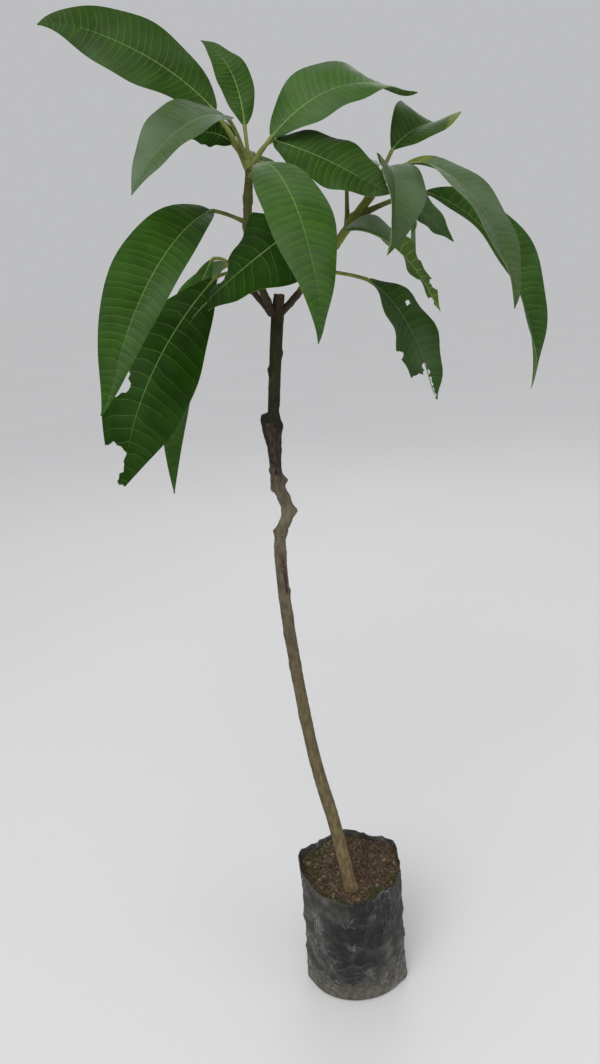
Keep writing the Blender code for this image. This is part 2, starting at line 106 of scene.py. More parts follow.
MASSES = {
    "foliage_top_left": Mass("bough_left_tall", 13, [
        Leaf("upper_left", 0.80, 42, 187, 64, 183, 52, 2, 40, 0.8, 30, -16, 45, 1, 10, 130, 51,
             0.82, 0),
        Leaf("left", 0.70, 38, 236, 69, 236, 9, -28, 66, 0.7, 0, -15, 10, 1, 18, 104, 43, 0.66, 0.1),
        Leaf("upright", 0.80, 28, 104, 83, 92, 68, 58, 36, 1.5, 0, 0, 6, 1, 12, 82, 25, 0.90, 0),
        Leaf("small_left", 0.70, 20, 190, 64, 160, 48, 26, 74, 1, 0, 0, 0, 1, 10, 38, 26, 0.85, 0),
        Leaf("upper_right", 0.75, 25, 344, 47, 355, 42, 26, 77, 1.35, -45, 0, 75, 3, 6, 118,
             51, 1.00, -0.2),
        Leaf("right", 0.40, 30, 4, 65, 342, -21, -12, 17, 1, -30, 6, -9, 1.5, 10, 96, 48, 0.87, 0),
        Leaf("front", 0.30, 23, 299, 18, 293, 4, 4, 97, 0.55, 35, 10, 50, 2.3, 7, 153, 51, 0.87, 0),
        Leaf("back", 0.45, 26, 80, 48, 76, 8, 10, 62, 0.6, 0, 0, 0, 1, 10, 150, 46, 0.85, 0),
    ]),
    "foliage_middle_left": Mass("bough_left_tall", 0, [
        Leaf("large_left", 0.74, 28, 188, 27, 234, -9, -12, 61, 0.6, -20, -3, 18, 0.7, 18, 179,
             46, 0.75, 0.2),
    ]),
    "foliage_low_left": Mass("bough_left_short", 5, [
        Leaf("lower_left", 0.60, 19, 204, -4, 208, -38, -12, 39, 1, 0, -4, 0, 1, 6, 182, 71,
             1.05, -0.04),
        Leaf("lower_left_behind", 0.70, 27, 134, 40, 158, -42, 66, 43, 0.4, 0, 0, 0, 1, 10,
             198, 28, 0.85, 0),
        Leaf("lower_left_back", 0.50, 24, 110, 20, 128, -12, 10, 50, 0.6, 0, 0, 0, 1, 10, 140,
             44, 0.85, 0),
    ]),
    "foliage_centre": Mass("bough_right", 0, [
        Leaf("centre", 0.34, 52, 277, 53, 202, -25, -58, 11, 0.35, 6, 8, -41, 0.55, -3, 102,
             70, 0.31, 0),
    ]),
    "foliage_low_right": Mass("bough_right", 0, [
        Leaf("lower_right", 0.385, 42, 3, -10, 18, -30, 6, 51, 0.65, -25, 18, -30, 2.2, 17,
             118, 49, 0.98, 0.1),
    ]),
    "foliage_hanging_right": Mass("bough_right", 0, [
        Leaf("hanging", 0.60, 13, 0, 50, -30, 28, -7, 96, 0.4, -10, 35, 55, 0.5, 16, 101, 44, 0.68, 0),
    ]),
    "foliage_back_right": Mass("bough_right", 0, [
        Leaf("back_right", 0.74, 34, 80, 72, 80, 30, -10, 34, 1, 0, 0, 0, 1, 10, 140, 42, 0.85, 0),
    ]),
    "foliage_far_right": Mass("bough_right", 0, [
        Leaf("far_right", 0.82, 53, -9, 20, 3, -11, -16, 84, 0.67, 6, 5, 58, 1.9, 26, 183, 50,
             0.97, -0.15),
    ]),
    "foliage_top_right": Mass("bough_right", 7, [
        Leaf("small_top", 0.60, 30, 31, 60, 18, 52, 45, 61, 0.67, 0, -4, 72, 1.9, 26, 73, 56,
             1.24, -0.05),
        Leaf("front_right", 0.60, 18, 297, 48, 286, 15, -59, 90, 0.47, -25, 20, 55, 2.1, 33,
             89, 46, 0.80, 0),
        Leaf("behind_front", 0.50, 14, 36, 0, 34, -12, -15, 35, 0.7, 0, 0, 0, 1, 15, 72, 28, 0.85, 0),
        Leaf("arching_right", 0.70, 25, 346, 32, 317, 27, -1, 106, 0.41, 22, 13, 20, 0.4, 19,
             147, 43, 0.96, 0),
        Leaf("back_top", 0.50, 22, 70, 30, 66, 10, 6, 56, 0.7, 0, 0, 0, 1, 10, 136, 42, 0.85, 0),
    ]),
}

# Bites out of a blade: leaf, share along it, place across it (1 is the right margin when
# the blade is seen from above with its tip ahead), radius in millimetres
Bite = namedtuple("Bite", "leaf share across radius")
BITES = [
    Bite("lower_left", 0.57, 0.8, 14), Bite("lower_left", 0.89, 1.0, 14),
    Bite("lower_left", 1.00, -0.1, 4),
    Bite("centre", 0.60, 1.0, 9), Bite("centre", 0.80, 0.9, 6), Bite("centre", 0.86, -1.0, 9),
    Bite("lower_right", 0.54, 1.0, 4.5), Bite("lower_right", 0.735, 0.10, 3.0),
    Bite("lower_right", 0.79, 0.12, 3.8), Bite("lower_right", 0.86, 0.40, 6.5),
    Bite("lower_right", 0.83, 0.85, 8.5), Bite("lower_right", 0.93, 0.95, 7.0),
    Bite("lower_right", 0.32, -0.55, 3.0),
    Bite("hanging", 0.62, 0.95, 5), Bite("hanging", 0.82, 0.9, 4), Bite("hanging", 0.72, -1.0, 3),
    Bite("hanging", 0.90, -0.9, 3),
]

LIGHT = Vector((0.10, -0.80, 0.60)).normalized()
BLADE_ARCH = 0.12
BASE_FULLNESS = 0.75             # less rounds the blade out towards its base
TIP_FULLNESS = 0.95              # more draws it out towards its tip
LEAST_HALF_WIDTH = 0.6 * MM
HOOK_FROM = 0.8
GAP = 0.3 * MM


def smooth_path(bends, steps):
    """Points on a smooth curve through the bends, evenly spread in parameter."""
    knots = [Vector(bend) * MM for bend in bends]
    knots = [2 * knots[0] - knots[1]] + knots + [2 * knots[-1] - knots[-2]]
    spans = len(knots) - 3
    points = []
    for step in range(steps + 1):
        place = min(step / steps * spans, spans - 1e-9)
        span = int(place)
        t = place - span
        a, b, c, d = knots[span:span + 4]
        points.append(0.5 * (2 * b + (c - a) * t + (2 * a - 5 * b + 4 * c - d) * t ** 2
                             + (3 * b - a - 3 * c + d) * t ** 3))
    return points


def shares_of(points):
    """How far along the path each point lies, from 0 to 1."""
    lengths = [0.0]
    for before, after in zip(points, points[1:]):
        lengths.append(lengths[-1] + (after - before).length)
    return [length / lengths[-1] for length in lengths]


def point_at(points, share):
    """The point at a share of the path's length."""
    along = shares_of(points)
    for index in range(len(points) - 1):
        if share <= along[index + 1]:
            part = (share - along[index]) / (along[index + 1] - along[index])
            return points[index].lerp(points[index + 1], part)
    return points[-1]


def girth_at(limb, share):
    """Radius of the limb in metres: its taper, with each swelling added."""
    radius = limb.girth[-1][1]
    for (low, thick), (high, thin) in zip(limb.girth, limb.girth[1:]):
        if low <= share <= high:
            radius = thick + (thin - thick) * (share - low) / (high - low)
            break
    for swelling in limb.swellings:
        distance = share - swelling.place
        reach = swelling.after if distance > 0 else swelling.before
        if abs(distance) < reach:
            radius += swelling.extra * (1 - (distance / reach) ** 2) ** 2
    return radius * MM


def heading(azimuth, elevation):
    """Unit vector along a compass angle and a slope, both in degrees."""
    turn = math.radians(azimuth)
    slope = math.radians(elevation)
    level = math.cos(slope)
    return Vector((level * math.cos(turn), level * math.sin(turn), math.sin(slope)))


def turn_between(angle, azimuth):
    """Degrees from a compass angle in degrees to an angle in radians, from -180 to 180."""
    return (math.degrees(angle) - azimuth + 180.0) % 360.0 - 180.0


def nearest_turn(start, end):
    """The end angle as it is reached from the start by the shorter way round."""
    return start + (end - start + 180.0) % 360.0 - 180.0


def stalk_points(leaf, root, steps):
    """The stalk's axis from its root on the limb to the blade's base."""
    swing = nearest_turn(leaf.azimuth, leaf.toward) - leaf.azimuth
    points = [root]
    for step in range(steps):
        t = (step + 0.5) / steps
        way = heading(leaf.azimuth + 0.6 * swing * t, leaf.rise + 0.6 * (leaf.lift - leaf.rise) * t * t)
        points.append(points[-1] + way * leaf.stalk * MM / steps)
    return points


def midrib(leaf, base, rows):
    """Points and directions along the midrib, from the blade's base to its tip."""
    def way(t):
        hooked = leaf.hook * max(0.0, (t - HOOK_FROM) / (1.0 - HOOK_FROM)) ** 2
        return heading(leaf.toward + leaf.sweep * t, leaf.lift - leaf.droop * t ** leaf.early - hooked)

    points = [base]
    for row in range(rows):
        points.append(points[-1] + way((row + 0.5) / rows) * leaf.length * MM / rows)
    return points, [way(row / rows) for row in range(rows + 1)]


def half_widths(leaf, share):
    """Half the blade's width at each share of its length."""
    place = np.clip(share, 0.0, 1.0) ** leaf.widest
    fullness = np.where(place < 0.5, BASE_FULLNESS, TIP_FULLNESS)
    half = 0.5 * leaf.width * MM * np.sin(np.pi * place).clip(0.0) ** fullness
    return np.maximum(half, LEAST_HALF_WIDTH)


def blade_sides(leaf, share, along):
    """Unit vectors across the blade and out of its upper face, at a share of its length."""
    up = (LIGHT - LIGHT.dot(along) * along).normalized()
    side = along.cross(up)
    roll = math.radians(leaf.turn + leaf.twist * share ** leaf.late)
    return (side * math.cos(roll) + up * math.sin(roll),
            up * math.cos(roll) - side * math.sin(roll))


def shoot_line(limb, length):
    """The shoot that goes on from a limb's tip, a gap beyond its end."""
    points = smooth_path(limb.bends, limb.steps)
    way = (points[-1] - points[-2]).normalized()
    foot = points[-1] + way * GAP
    return [foot, foot + way * length * MM / 2, foot + way * length * MM]


# Node materials

def new_material(name, roughness, specular):
    """A Principled material with those plain values; returns its shader and coordinates too."""
    material = bpy.data.materials.new(name)
    material.use_nodes = True
    shader = material.node_tree.nodes["Principled BSDF"]
    shader.inputs["Roughness"].default_value = roughness
    shader.inputs["Specular IOR Level"].default_value = specular
    place = material.node_tree.nodes.new("ShaderNodeTexCoord").outputs["Object"]
    return material, shader, place


def link(value, socket):
    """Feeds a node's output into an input of the same tree."""
    value.id_data.links.new(value, socket)


def new_node(kind, *values):
    """A node of that kind in the tree of the first value that is a node's output."""
    tree = next(value.id_data for value in values if isinstance(value, bpy.types.NodeSocket))
    return tree.nodes.new("ShaderNode" + kind)


def fill(socket, value):
    """Puts a node's output, a colour or a number into an input."""
    if isinstance(value, bpy.types.NodeSocket):
        link(value, socket)
    else:
        socket.default_value = (*value, 1.0) if isinstance(value, tuple) else value


def noise_value(place, scale, detail=3.0, stretch=None, distortion=0.0):
    """A noise output, its coordinates stretched if wanted."""
    if stretch:
        mapping = new_node("Mapping", place)
        mapping.inputs["Scale"].default_value = stretch
        link(place, mapping.inputs["Vector"])
        place = mapping.outputs["Vector"]
    texture = new_node("TexNoise", place)
    texture.inputs["Scale"].default_value = scale
    texture.inputs["Detail"].default_value = detail
    texture.inputs["Distortion"].default_value = distortion
    link(place, texture.inputs["Vector"])
    return texture.outputs["Fac"]


def cell_value(place, scale):
    """A cell pattern's distance from the nearest wall."""
    texture = new_node("TexVoronoi", place)
    texture.feature = "DISTANCE_TO_EDGE"
    texture.inputs["Scale"].default_value = scale
    link(place, texture.inputs["Vector"])
    return texture.outputs["Distance"]


def ramp(value, stops):
    """A colour ramp over a value. A stop is a place and a colour or a grey level."""
    node = new_node("ValToRGB", value)
    elements = node.color_ramp.elements
    while len(elements) < len(stops):
        elements.new(1.0)
    for element, (place, colour) in zip(elements, stops):
        element.position = place
        element.color = (*colour, 1.0) if isinstance(colour, tuple) else (colour, colour, colour, 1.0)
    link(value, node.inputs["Fac"])
    return node.outputs["Color"]


def mix_colour(factor, first, second, blend="MIX"):
    """Two colours mixed by a factor; each is a node's output or a plain value."""
    node = new_node("Mix", factor, first, second)
    node.data_type = "RGBA"
    node.blend_type = blend
    for socket, value in ((node.inputs["Factor"], factor), (node.inputs[6], first),
                          (node.inputs[7], second)):
        fill(socket, value)
    return node.outputs[2]


def math_value(operation, first, second=0.0):
    """A Math node's output; each input is a node's output or a number."""
    node = new_node("Math", first, second)
    node.operation = operation
    fill(node.inputs[0], first)
    fill(node.inputs[1], second)
    return node.outputs[0]


def sway(place, scale, detail, size):
    """Noise about 0, with the size that lies between its ends."""
    centred = math_value("SUBTRACT", noise_value(place, scale, detail), 0.5)
    return math_value("MULTIPLY", centred, size)


def bump(shader, height, distance, strength=1.0, under=None):
    """Adds a bump of that height in metres, on top of an earlier one."""
    node = new_node("Bump", height)
    node.inputs["Strength"].default_value = strength
    node.inputs["Distance"].default_value = distance
    link(height, node.inputs["Height"])
    if under:
        link(under, node.inputs["Normal"])
    link(node.outputs["Normal"], shader.inputs["Normal"])
    return node.outputs["Normal"]


def nearest_value(place, spots):
    """Distance in metres to the nearest of some places."""
    nearest = 1.0
    for spot in spots:
        away = new_node("VectorMath", place)
        away.operation = "DISTANCE"
        link(place, away.inputs[0])
        away.inputs[1].default_value = spot
        nearest = math_value("MINIMUM", away.outputs["Value"], nearest)
    return nearest


def height_value(place, low, high):
    """0 at the low height, 1 at the high one, in metres above the ground."""
    split = new_node("SeparateXYZ", place)
    link(place, split.inputs["Vector"])
    node = new_node("MapRange", place)
    node.inputs["From Min"].default_value = low
    node.inputs["From Max"].default_value = high
    link(split.outputs["Z"], node.inputs["Value"])
    return node.outputs["Result"]


def blade_material(name, colour, shade, roughness, specular, grain, sheen_share=0.0):
    """A leaf's skin: a colour with its darker shade, a painted grey sheen in patches, fine net veins.
    """
    material, shader, place = new_material(name, roughness, specular)
    cloud = noise_value(place, 55.0, 4.0)
    blotch = ramp(cloud, [(0.35, colour), (0.72, shade)])
    # painted sheen: patches of pale grey-green standing in for reflected sky light
    sheen_patches = ramp(noise_value(place, 26.0, 3.0), [(0.40, 0.0), (0.68, sheen_share)])
    blotch = mix_colour(sheen_patches, blotch, PAINTED_SHEEN)
    net = cell_value(place, 1300.0)
    fine = ramp(net, [(0.0, 1.0), (0.12, 0.0)])
    lit = mix_colour(0.10, blotch, tuple(min(1.0, 2.2 * part) for part in colour))
    node = mix_colour(fine, blotch, lit)
    link(node, shader.inputs["Base Color"])
    dull = ramp(noise_value(place, 120.0, 5.0),
                [(0.3, roughness - 0.07), (0.7, roughness + 0.10)])
    link(dull, shader.inputs["Roughness"])
    first = bump(shader, noise_value(place, 420.0, 4.0), grain * MM, 0.6)
    bump(shader, net, 0.5 * grain * MM, 0.5, first)
    return material


def stalk_material(name, colour, shade, roughness):
    """Green stalks: streaked along, with a few darker freckles."""
    material, shader, place = new_material(name, roughness, 0.25)
    streak = noise_value(place, 160.0, 4.0)
    tone = ramp(streak, [(0.32, colour), (0.70, shade)])
    freckle = ramp(noise_value(place, 900.0, 2.0), [(0.60, 0.0), (0.72, 0.55)])
    brown = mix_colour(freckle, tone, tuple(0.45 * part for part in shade))
    link(brown, shader.inputs["Base Color"])
    bump(shader, noise_value(place, 700.0, 4.0), 0.15 * MM, 0.6)
    return material


# Meshes from arrays

def add_piece(name, points, faces, materials, faces_material=None, smooth=60, uv=None):
    """A mesh piece that rides on the plant's only body."""
    mesh = bpy.data.meshes.new(name)
    mesh.from_pydata([tuple(point) for point in points], [], [tuple(face) for face in faces])
    for material in materials:
        mesh.materials.append(material)
    if faces_material is not None:
        mesh.polygons.foreach_set("material_index", np.asarray(faces_material, dtype=np.int32))
    if uv is not None:
        layer = mesh.uv_layers.new(name="OFBake")
        layer.data.foreach_set("uv", np.asarray(uv, dtype=np.float32).ravel())
    mesh.shade_smooth()
    mesh.set_sharp_from_angle(angle=math.radians(smooth))
    mesh.validate()
    piece = bpy.data.objects.new(name, mesh)
    bpy.context.scene.collection.objects.link(piece)
    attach(piece, "root")
    return piece


def tube_frames(points):
    """Two unit vectors across each point of a path, carried along it without twist."""
    points = np.asarray(points)
    ways = np.gradient(points, axis=0)
    ways /= np.linalg.norm(ways, axis=1)[:, None]
    first = np.cross(ways[0], (0.0, 1.0, 0.0))
    first /= np.linalg.norm(first)
    firsts, seconds = [], []
    for way in ways:
        first = first - way * first.dot(way)
        first /= np.linalg.norm(first)
        firsts.append(first)
        seconds.append(np.cross(way, first))
    return np.array(firsts), np.array(seconds)


def tube(points, radii, sides):
    """Points and faces of a closed round tube; radii is one number or one row a ring."""
    points = np.asarray(points)
    radii = np.asarray(radii)
    if radii.ndim == 1:
        radii = np.repeat(radii[:, None], sides, axis=1)
    firsts, seconds = tube_frames(points)
    angles = np.arange(sides) * 2 * math.pi / sides
    around = (firsts[:, None] * np.cos(angles)[None, :, None]
              + seconds[:, None] * np.sin(angles)[None, :, None])
    skin = (points[:, None] + around * radii[:, :, None]).reshape(-1, 3)
    faces = []
    for ring in range(len(points) - 1):
        for side in range(sides):
            after = (side + 1) % sides
            low, high = ring * sides, (ring + 1) * sides
            faces.append((low + side, low + after, high + after, high + side))
    faces.append(tuple(range(sides - 1, -1, -1)))
    last = (len(points) - 1) * sides
    faces.append(tuple(range(last, last + sides)))
    return skin, faces


# Leaves

BLADE_THICKNESS = 0.45 * MM
RIB_STEPS = 160
# Places across each half of a blade's grid, from the midrib to the margin
COLUMNS = (0.0, 0.06, 0.15, 0.26, 0.38, 0.50, 0.62, 0.74, 0.85, 0.94, 1.0)
FIRST_VEIN, LAST_VEIN = 0.035, 0.955
VEIN_SLOPE = 0.34                # how far a vein runs towards the tip, share of the half width
VEIN_WIDTH = 0.30 * MM           # half width at the midrib
VEIN_END = 0.35                  # share of that width at the margin
VEIN_STRAY = 0.3                 # how far veins stray from even spacing, share of the spacing
WAVES = 3.2                      # waves along a margin
SLOW_WAVES = 1.3                 # longer waves that go with them
LEAF_SEED = 7

# What a leaf's surface shows: tone, pairs of veins, pleats between them and waves at the
# margins in millimetres
Look = namedtuple("Look", "tone veins pleat wave")
PLAIN_LOOK = Look("mid", 24, 0.14, 1.2)
LOOKS = {
    "upper_left": Look("deep", 26, 0.16, 0.8),
    "left": Look("grey", 20, 0.08, 0.8),
    "upright": Look("deep", 18, 0.12, 1.0),
    "small_left": Look("dark", 12, 0.10, 0.8),
    "upper_right": Look("mid", 24, 0.18, 1.2),
    "right": Look("deep", 18, 0.20, 1.4),
    "front": Look("mid", 25, 0.16, 0.8),
    "large_left": Look("bright", 28, 0.14, 0.8),
    "lower_left": Look("dark", 17, 0.25, 1.4),
    "lower_left_behind": Look("mid", 26, 0.14, 1.2),
    "centre": Look("dark", 13, 0.20, 1.6),
    "lower_right": Look("moss", 16, 0.45, 2.2),
    "hanging": Look("grey", 16, 0.25, 2.0),
    "far_right": Look("bright", 30, 0.16, 1.2),
    "arching_right": Look("grey", 26, 0.12, 1.0),
    "front_right": Look("grey", 18, 0.10, 0.8),
    "small_top": Look("deep", 18, 0.16, 0.8),
    "behind_front": Look("mid", 16, 0.12, 1.0),
}

# Shares of a leaf's map that its upper face, its underside and its edge fill
UPPER_MAP, UNDER_MAP, EDGE_MAP = 0.48, 0.46, (0.98, 0.99)

# Parts of a blade that turn their underside up: leaf, the share they start from and end at,
# nearer the base by slant at the right margin and nearer the tip at the left one
Flip = namedtuple("Flip", "leaf start end slant")
FLIPS = [
    Flip("hanging", -1.0, 0.44, 0.10), Flip("small_top", 0.90, 2.0, 0.50),
    Flip("arching_right", -1.0, 0.12, 0.0),
]

# Tones of the upper face: colour, shade, share of painted grey sheen, and specular level
TONES = {
    "deep": ((0.026, 0.068, 0.005), (0.015, 0.042, 0.003), 0.22, 0.08),
    "mid": ((0.038, 0.104, 0.007), (0.022, 0.066, 0.005), 0.45, 0.12),
    "bright": ((0.027, 0.080, 0.005), (0.015, 0.046, 0.003), 0.15, 0.10),
    "dark": ((0.016, 0.054, 0.003), (0.009, 0.031, 0.002), 0.10, 0.02),
    # grey: a green made greyer by painted sky reflection, with the largest share of painted sheen
    "grey": ((0.042, 0.086, 0.018), (0.028, 0.060, 0.012), 0.75, 0.24),
    "moss": ((0.030, 0.074, 0.011), (0.017, 0.044, 0.007), 0.35, 0.10),
}
# Painted sheen: the pale grey-green that stands in for sky light reflected off the blades
PAINTED_SHEEN = (0.085, 0.128, 0.070)
# Painted shade: the far half of each bulge between veins is darker, as if turned away from the light
PAINTED_PLEAT_SHADE = 0.86                       # how much darker the far half of each bulge between veins is
UNDERSIDE = ((0.072, 0.132, 0.020), (0.050, 0.098, 0.015))
# Painted light: a lighter, yellower copy of the underside for parts that turn it up, standing in for
# light shining through the blade
UNDERSIDE_PAINTED_LIGHT = ((0.115, 0.145, 0.020), (0.080, 0.108, 0.015))
# Pale yellow-green of the margin and the underside veins; on the margin it is partly the leaf's own
# paler edge and partly a painted backlit highlight
RIM = ((0.180, 0.270, 0.070), (0.120, 0.200, 0.050))
VEIN_PALENESS = 0.20             # share of the midrib's colour in the side veins
BITTEN = ((0.160, 0.110, 0.040), (0.060, 0.040, 0.018))
RIB = ((0.140, 0.230, 0.050), (0.100, 0.175, 0.036))
STALK = ((0.200, 0.230, 0.044), (0.120, 0.132, 0.032))


# The kinds of rows in a blade's grid: a vein's two edges, the far half of a bulge between
# veins, and the rest
VEIN_LOW, VEIN_HIGH, FAR_HALF, PLAIN = "vein low", "vein high", "far half", "plain"

# A blade's materials, in their order in tone_materials
UPPER, UPPER_VEIN, UNDER, UNDER_VEIN, MARGIN, EATEN, PAINTED_PLEAT_SHADE_LOOK, UNDERSIDE_PAINTED_LIGHT_LOOK = range(8)


def grid_rows(look):
    """Where the veins start, and the grid's rows: share at the midrib, kind and pleat height."""
    veins = [FIRST_VEIN + (LAST_VEIN - FIRST_VEIN) * (index / (look.veins - 1)) ** 0.96
             for index in range(look.veins)]
    rows = [(0.0, PLAIN, 0.0)]
    before = 0.0
    for vein in veins:
        for part in (0.25, 0.5, 0.75):
            kind = FAR_HALF if part >= 0.5 else PLAIN
            rows.append((before + (vein - before) * part, kind, math.sin(math.pi * part) ** 1.5))
        rows.extend([(vein, VEIN_LOW, 0.0), (vein, VEIN_HIGH, 0.0)])
        before = vein
    for part in (0.3, 0.6, 0.85, 1.0):
        rows.append((before + (1.0 - before) * part, PLAIN, 0.0))
    return veins, rows


def smooth_step(value):
    """0 up to 0 and 1 from 1 on, with a smooth rise between them."""
    value = np.clip(value, 0.0, 1.0)
    return value * value * (3 - 2 * value)


def blade_grid(leaf, look, rng):
    """Share and place across for each grid point, with rows that run along the veins."""
    veins, rows = grid_rows(look)
    places = [-place for place in COLUMNS[:0:-1]] + list(COLUMNS)
    across = np.tile(np.array(places), (len(rows), 1))
    start = np.array([row[0] for row in rows])[:, None]
    edge = np.array([{VEIN_LOW: -1, VEIN_HIGH: 1}.get(row[1], 0) for row in rows])[:, None]
    reach = np.abs(across)
    spacing = (LAST_VEIN - FIRST_VEIN) / look.veins
    stray = []
    for _ in ("left", "right"):
        moves = [rng.uniform(-1, 1) * VEIN_STRAY * spacing for _ in veins]
        stray.append(np.interp(start[:, 0], [0.0] + veins + [1.0], [0.0] + moves + [0.0])[:, None])
    strays = np.where(across < 0, *stray) * smooth_step(reach / 0.3)
    lead = VEIN_SLOPE * half_widths(leaf, start) / (leaf.length * MM)
    share = start + lead * (0.6 * reach + 0.4 * reach ** 3) + strays
    width = VEIN_WIDTH * (1.0 - (1.0 - VEIN_END) * reach) / (leaf.length * MM)
    share = share + edge * width
    return np.clip(share, 0.0, 1.0), across, rows


# Waves round a bite's edge, and their height as a share of its radius
RAGGED = ((3, 0.10), (7, 0.07), (13, 0.05))
BITE_SEED = 1.7


def around_bite(leaf, bite, seed, level, long):
    """A bite's middle, and for each grid point the angle about it and the distances from it to
    the bite's ragged edge and to the point."""
    middle = (bite.across * float(half_widths(leaf, np.array(bite.share))),
              bite.share * leaf.length * MM)
    dx, dy = level - middle[0], long - middle[1]
    angle = np.arctan2(dy, dx)
    ragged = sum(part * np.sin(turns * angle + seed * turns) for turns, part in RAGGED)
    return middle, angle, bite.radius * MM * (1.0 + ragged), np.hypot(dx, dy)


def bite_grid(leaf, share, across, bites):
    """Draws grid points inside a bite out to its edge. Returns the grid, which of its cells
    are kept and which points have moved."""
    level, long = across * half_widths(leaf, share), share * leaf.length * MM
    eaten = np.zeros(share.shape, bool)
    for index, bite in enumerate(bites):
        _, _, edge, distance = around_bite(leaf, bite, index + BITE_SEED, level, long)
        eaten |= distance < edge
    kept = ~(eaten[:-1, :-1] & eaten[1:, :-1] & eaten[:-1, 1:] & eaten[1:, 1:])
    border = np.zeros(share.shape, bool)
    for corners in (border[:-1, :-1], border[1:, :-1], border[:-1, 1:], border[1:, 1:]):
        corners |= kept
    move = eaten & border
    for index, bite in enumerate(bites):
        middle, angle, edge, distance = around_bite(leaf, bite, index + BITE_SEED, level, long)
        mine = move & (distance < edge)
        level = np.where(mine, middle[0] + np.cos(angle) * edge, level)
        long = np.where(mine, middle[1] + np.sin(angle) * edge, long)
    share = np.clip(long / (leaf.length * MM), 0.0, 1.0)
    across = np.where(move, np.clip(level / half_widths(leaf, share), -1.0, 1.0), across)
    return share, across, kept, move


def blade_surface(leaf, look, share, across, pleats, table, phases):
    """Points of the blade's middle surface."""
    places = np.linspace(0.0, 1.0, RIB_STEPS + 1)
    frame_at = np.stack([np.interp(share, places, table[:, part]) for part in range(9)], axis=-1)
    centre, side, up = frame_at[..., 0:3], frame_at[..., 3:6], frame_at[..., 6:9]
    half = half_widths(leaf, share)
    fold = math.radians(leaf.fold)
    reach = np.abs(across)
    grown = np.clip(half / (0.25 * leaf.width * MM), 0.0, 1.0)
    half_here = half * (1.0 + leaf.lean * np.sign(across))
    raised = half * (reach * math.sin(fold) - BLADE_ARCH * across ** 2)
    swing = np.where(across < 0, phases[0], phases[1])
    wave = look.wave * MM * grown
    raised = raised + wave * reach ** 2 * np.sin(2 * math.pi * WAVES * share + swing)
    raised = raised + 0.5 * wave * reach * np.sin(2 * math.pi * SLOW_WAVES * share + 2 * swing)
    bulge = smooth_step(reach / 0.22) * (1.0 - 0.6 * reach ** 3)
    raised = raised + look.pleat * MM * pleats * bulge * grown
    level = across * half_here * math.cos(fold)
    return centre + side * level[..., None] + up * raised[..., None]


def blade_frames(leaf, base):
    """Place, side and upward directions of the midrib, one row of nine numbers a step."""
    points, ways = midrib(leaf, base, RIB_STEPS)
    table = []
    for row, (point, way) in enumerate(zip(points, ways)):
        side, up = blade_sides(leaf, row / RIB_STEPS, way)
        table.append([*point, *side, *up])
    return np.array(table)


def both_faces(middle, across):
    """The points of a blade's upper face, then those of its underside."""
    normal = np.cross(np.gradient(middle, axis=1), np.gradient(middle, axis=0))
    size = np.linalg.norm(normal, axis=-1)[..., None]
    normal = normal / np.maximum(size, 1e-12)
    thick = 0.5 * BLADE_THICKNESS * (1.0 - 0.4 * np.abs(across) ** 4)[..., None]
    return np.vstack([(middle + normal * thick).reshape(-1, 3),
                      (middle - normal * thick).reshape(-1, 3)])


def face_looks(kind, vein, turned):
    """The materials of a cell's upper face and underside."""
    if turned:
        # a turned part shows its underside in the copy with painted light
        return (UNDER_VEIN, UPPER_VEIN) if vein else (UNDERSIDE_PAINTED_LIGHT_LOOK, UPPER)
    if vein:
        return UPPER_VEIN, UNDER_VEIN
    # the far half of each bulge takes the copy with painted shade
    return PAINTED_PLEAT_SHADE_LOOK if kind == FAR_HALF else UPPER, UNDER


def make_blade(leaf, look, base, rng):
    """Points, faces, material numbers and map corners of one blade with both its faces, and
    its midrib's table."""
    bites = [bite for bite in BITES if bite.leaf == leaf.name]
    flips = [flip for flip in FLIPS if flip.leaf == leaf.name]
    table = blade_frames(leaf, base)
    share, across, rows = blade_grid(leaf, look, rng)
    count, width = share.shape
    kept = np.ones((count - 1, width - 1), bool)
    moved = np.zeros(share.shape, bool)
    if bites:
        share, across, kept, moved = bite_grid(leaf, share, across, bites)
    pleats = np.array([row[2] for row in rows])[:, None]
    phases = (rng.uniform(0, 6.28), rng.uniform(0, 6.28))
    points = both_faces(blade_surface(leaf, look, share, across, pleats, table, phases), across)
    total = count * width
    faces, numbers, corners = [], [], []
    edges = {}
    u = (across + 1.0) / 2.0
    v = np.tile(np.array([row[0] for row in rows])[:, None], (1, width))
    for row, column in zip(*np.nonzero(kept)):
        a = int(row * width + column)
        b, c, d = a + 1, a + width + 1, a + width
        spots = [(row, column), (row, column + 1), (row + 1, column + 1), (row + 1, column)]
        kind = rows[row][1]
        vein = kind == VEIN_LOW and row < count - 5 and 0 < column < width - 2
        place, out = share[row, column] + 0.001, across[row, column]
        turned = any(flip.start < place + flip.slant * out < flip.end for flip in flips)
        faces += [(a, b, c, d), (d + total, c + total, b + total, a + total)]
        numbers += face_looks(kind, vein, turned)
        corners.append([(UPPER_MAP * u[spot], v[spot]) for spot in spots])
        corners.append([(0.5 + UNDER_MAP * u[spot], v[spot]) for spot in reversed(spots)])
        for first, second in ((a, b), (b, c), (c, d), (d, a)):
            if edges.pop((second, first), None) is None:
                edges[(first, second)] = True
    moved, v = moved.ravel(), v.ravel()
    left, right = EDGE_MAP
    for first, second in edges:
        faces.append((second, first, first + total, second + total))
        numbers.append(EATEN if moved[first] and moved[second] else MARGIN)
        corners.append([(left, v[second]), (left, v[first]), (right, v[first]), (right, v[second])])
    return points, faces, numbers, corners, table


def used_only(points, faces):
    """Drops points that no face uses."""
    used = sorted({index for face in faces for index in face})
    renumber = {old: new for new, old in enumerate(used)}
    return points[used], [tuple(renumber[index] for index in face) for face in faces]


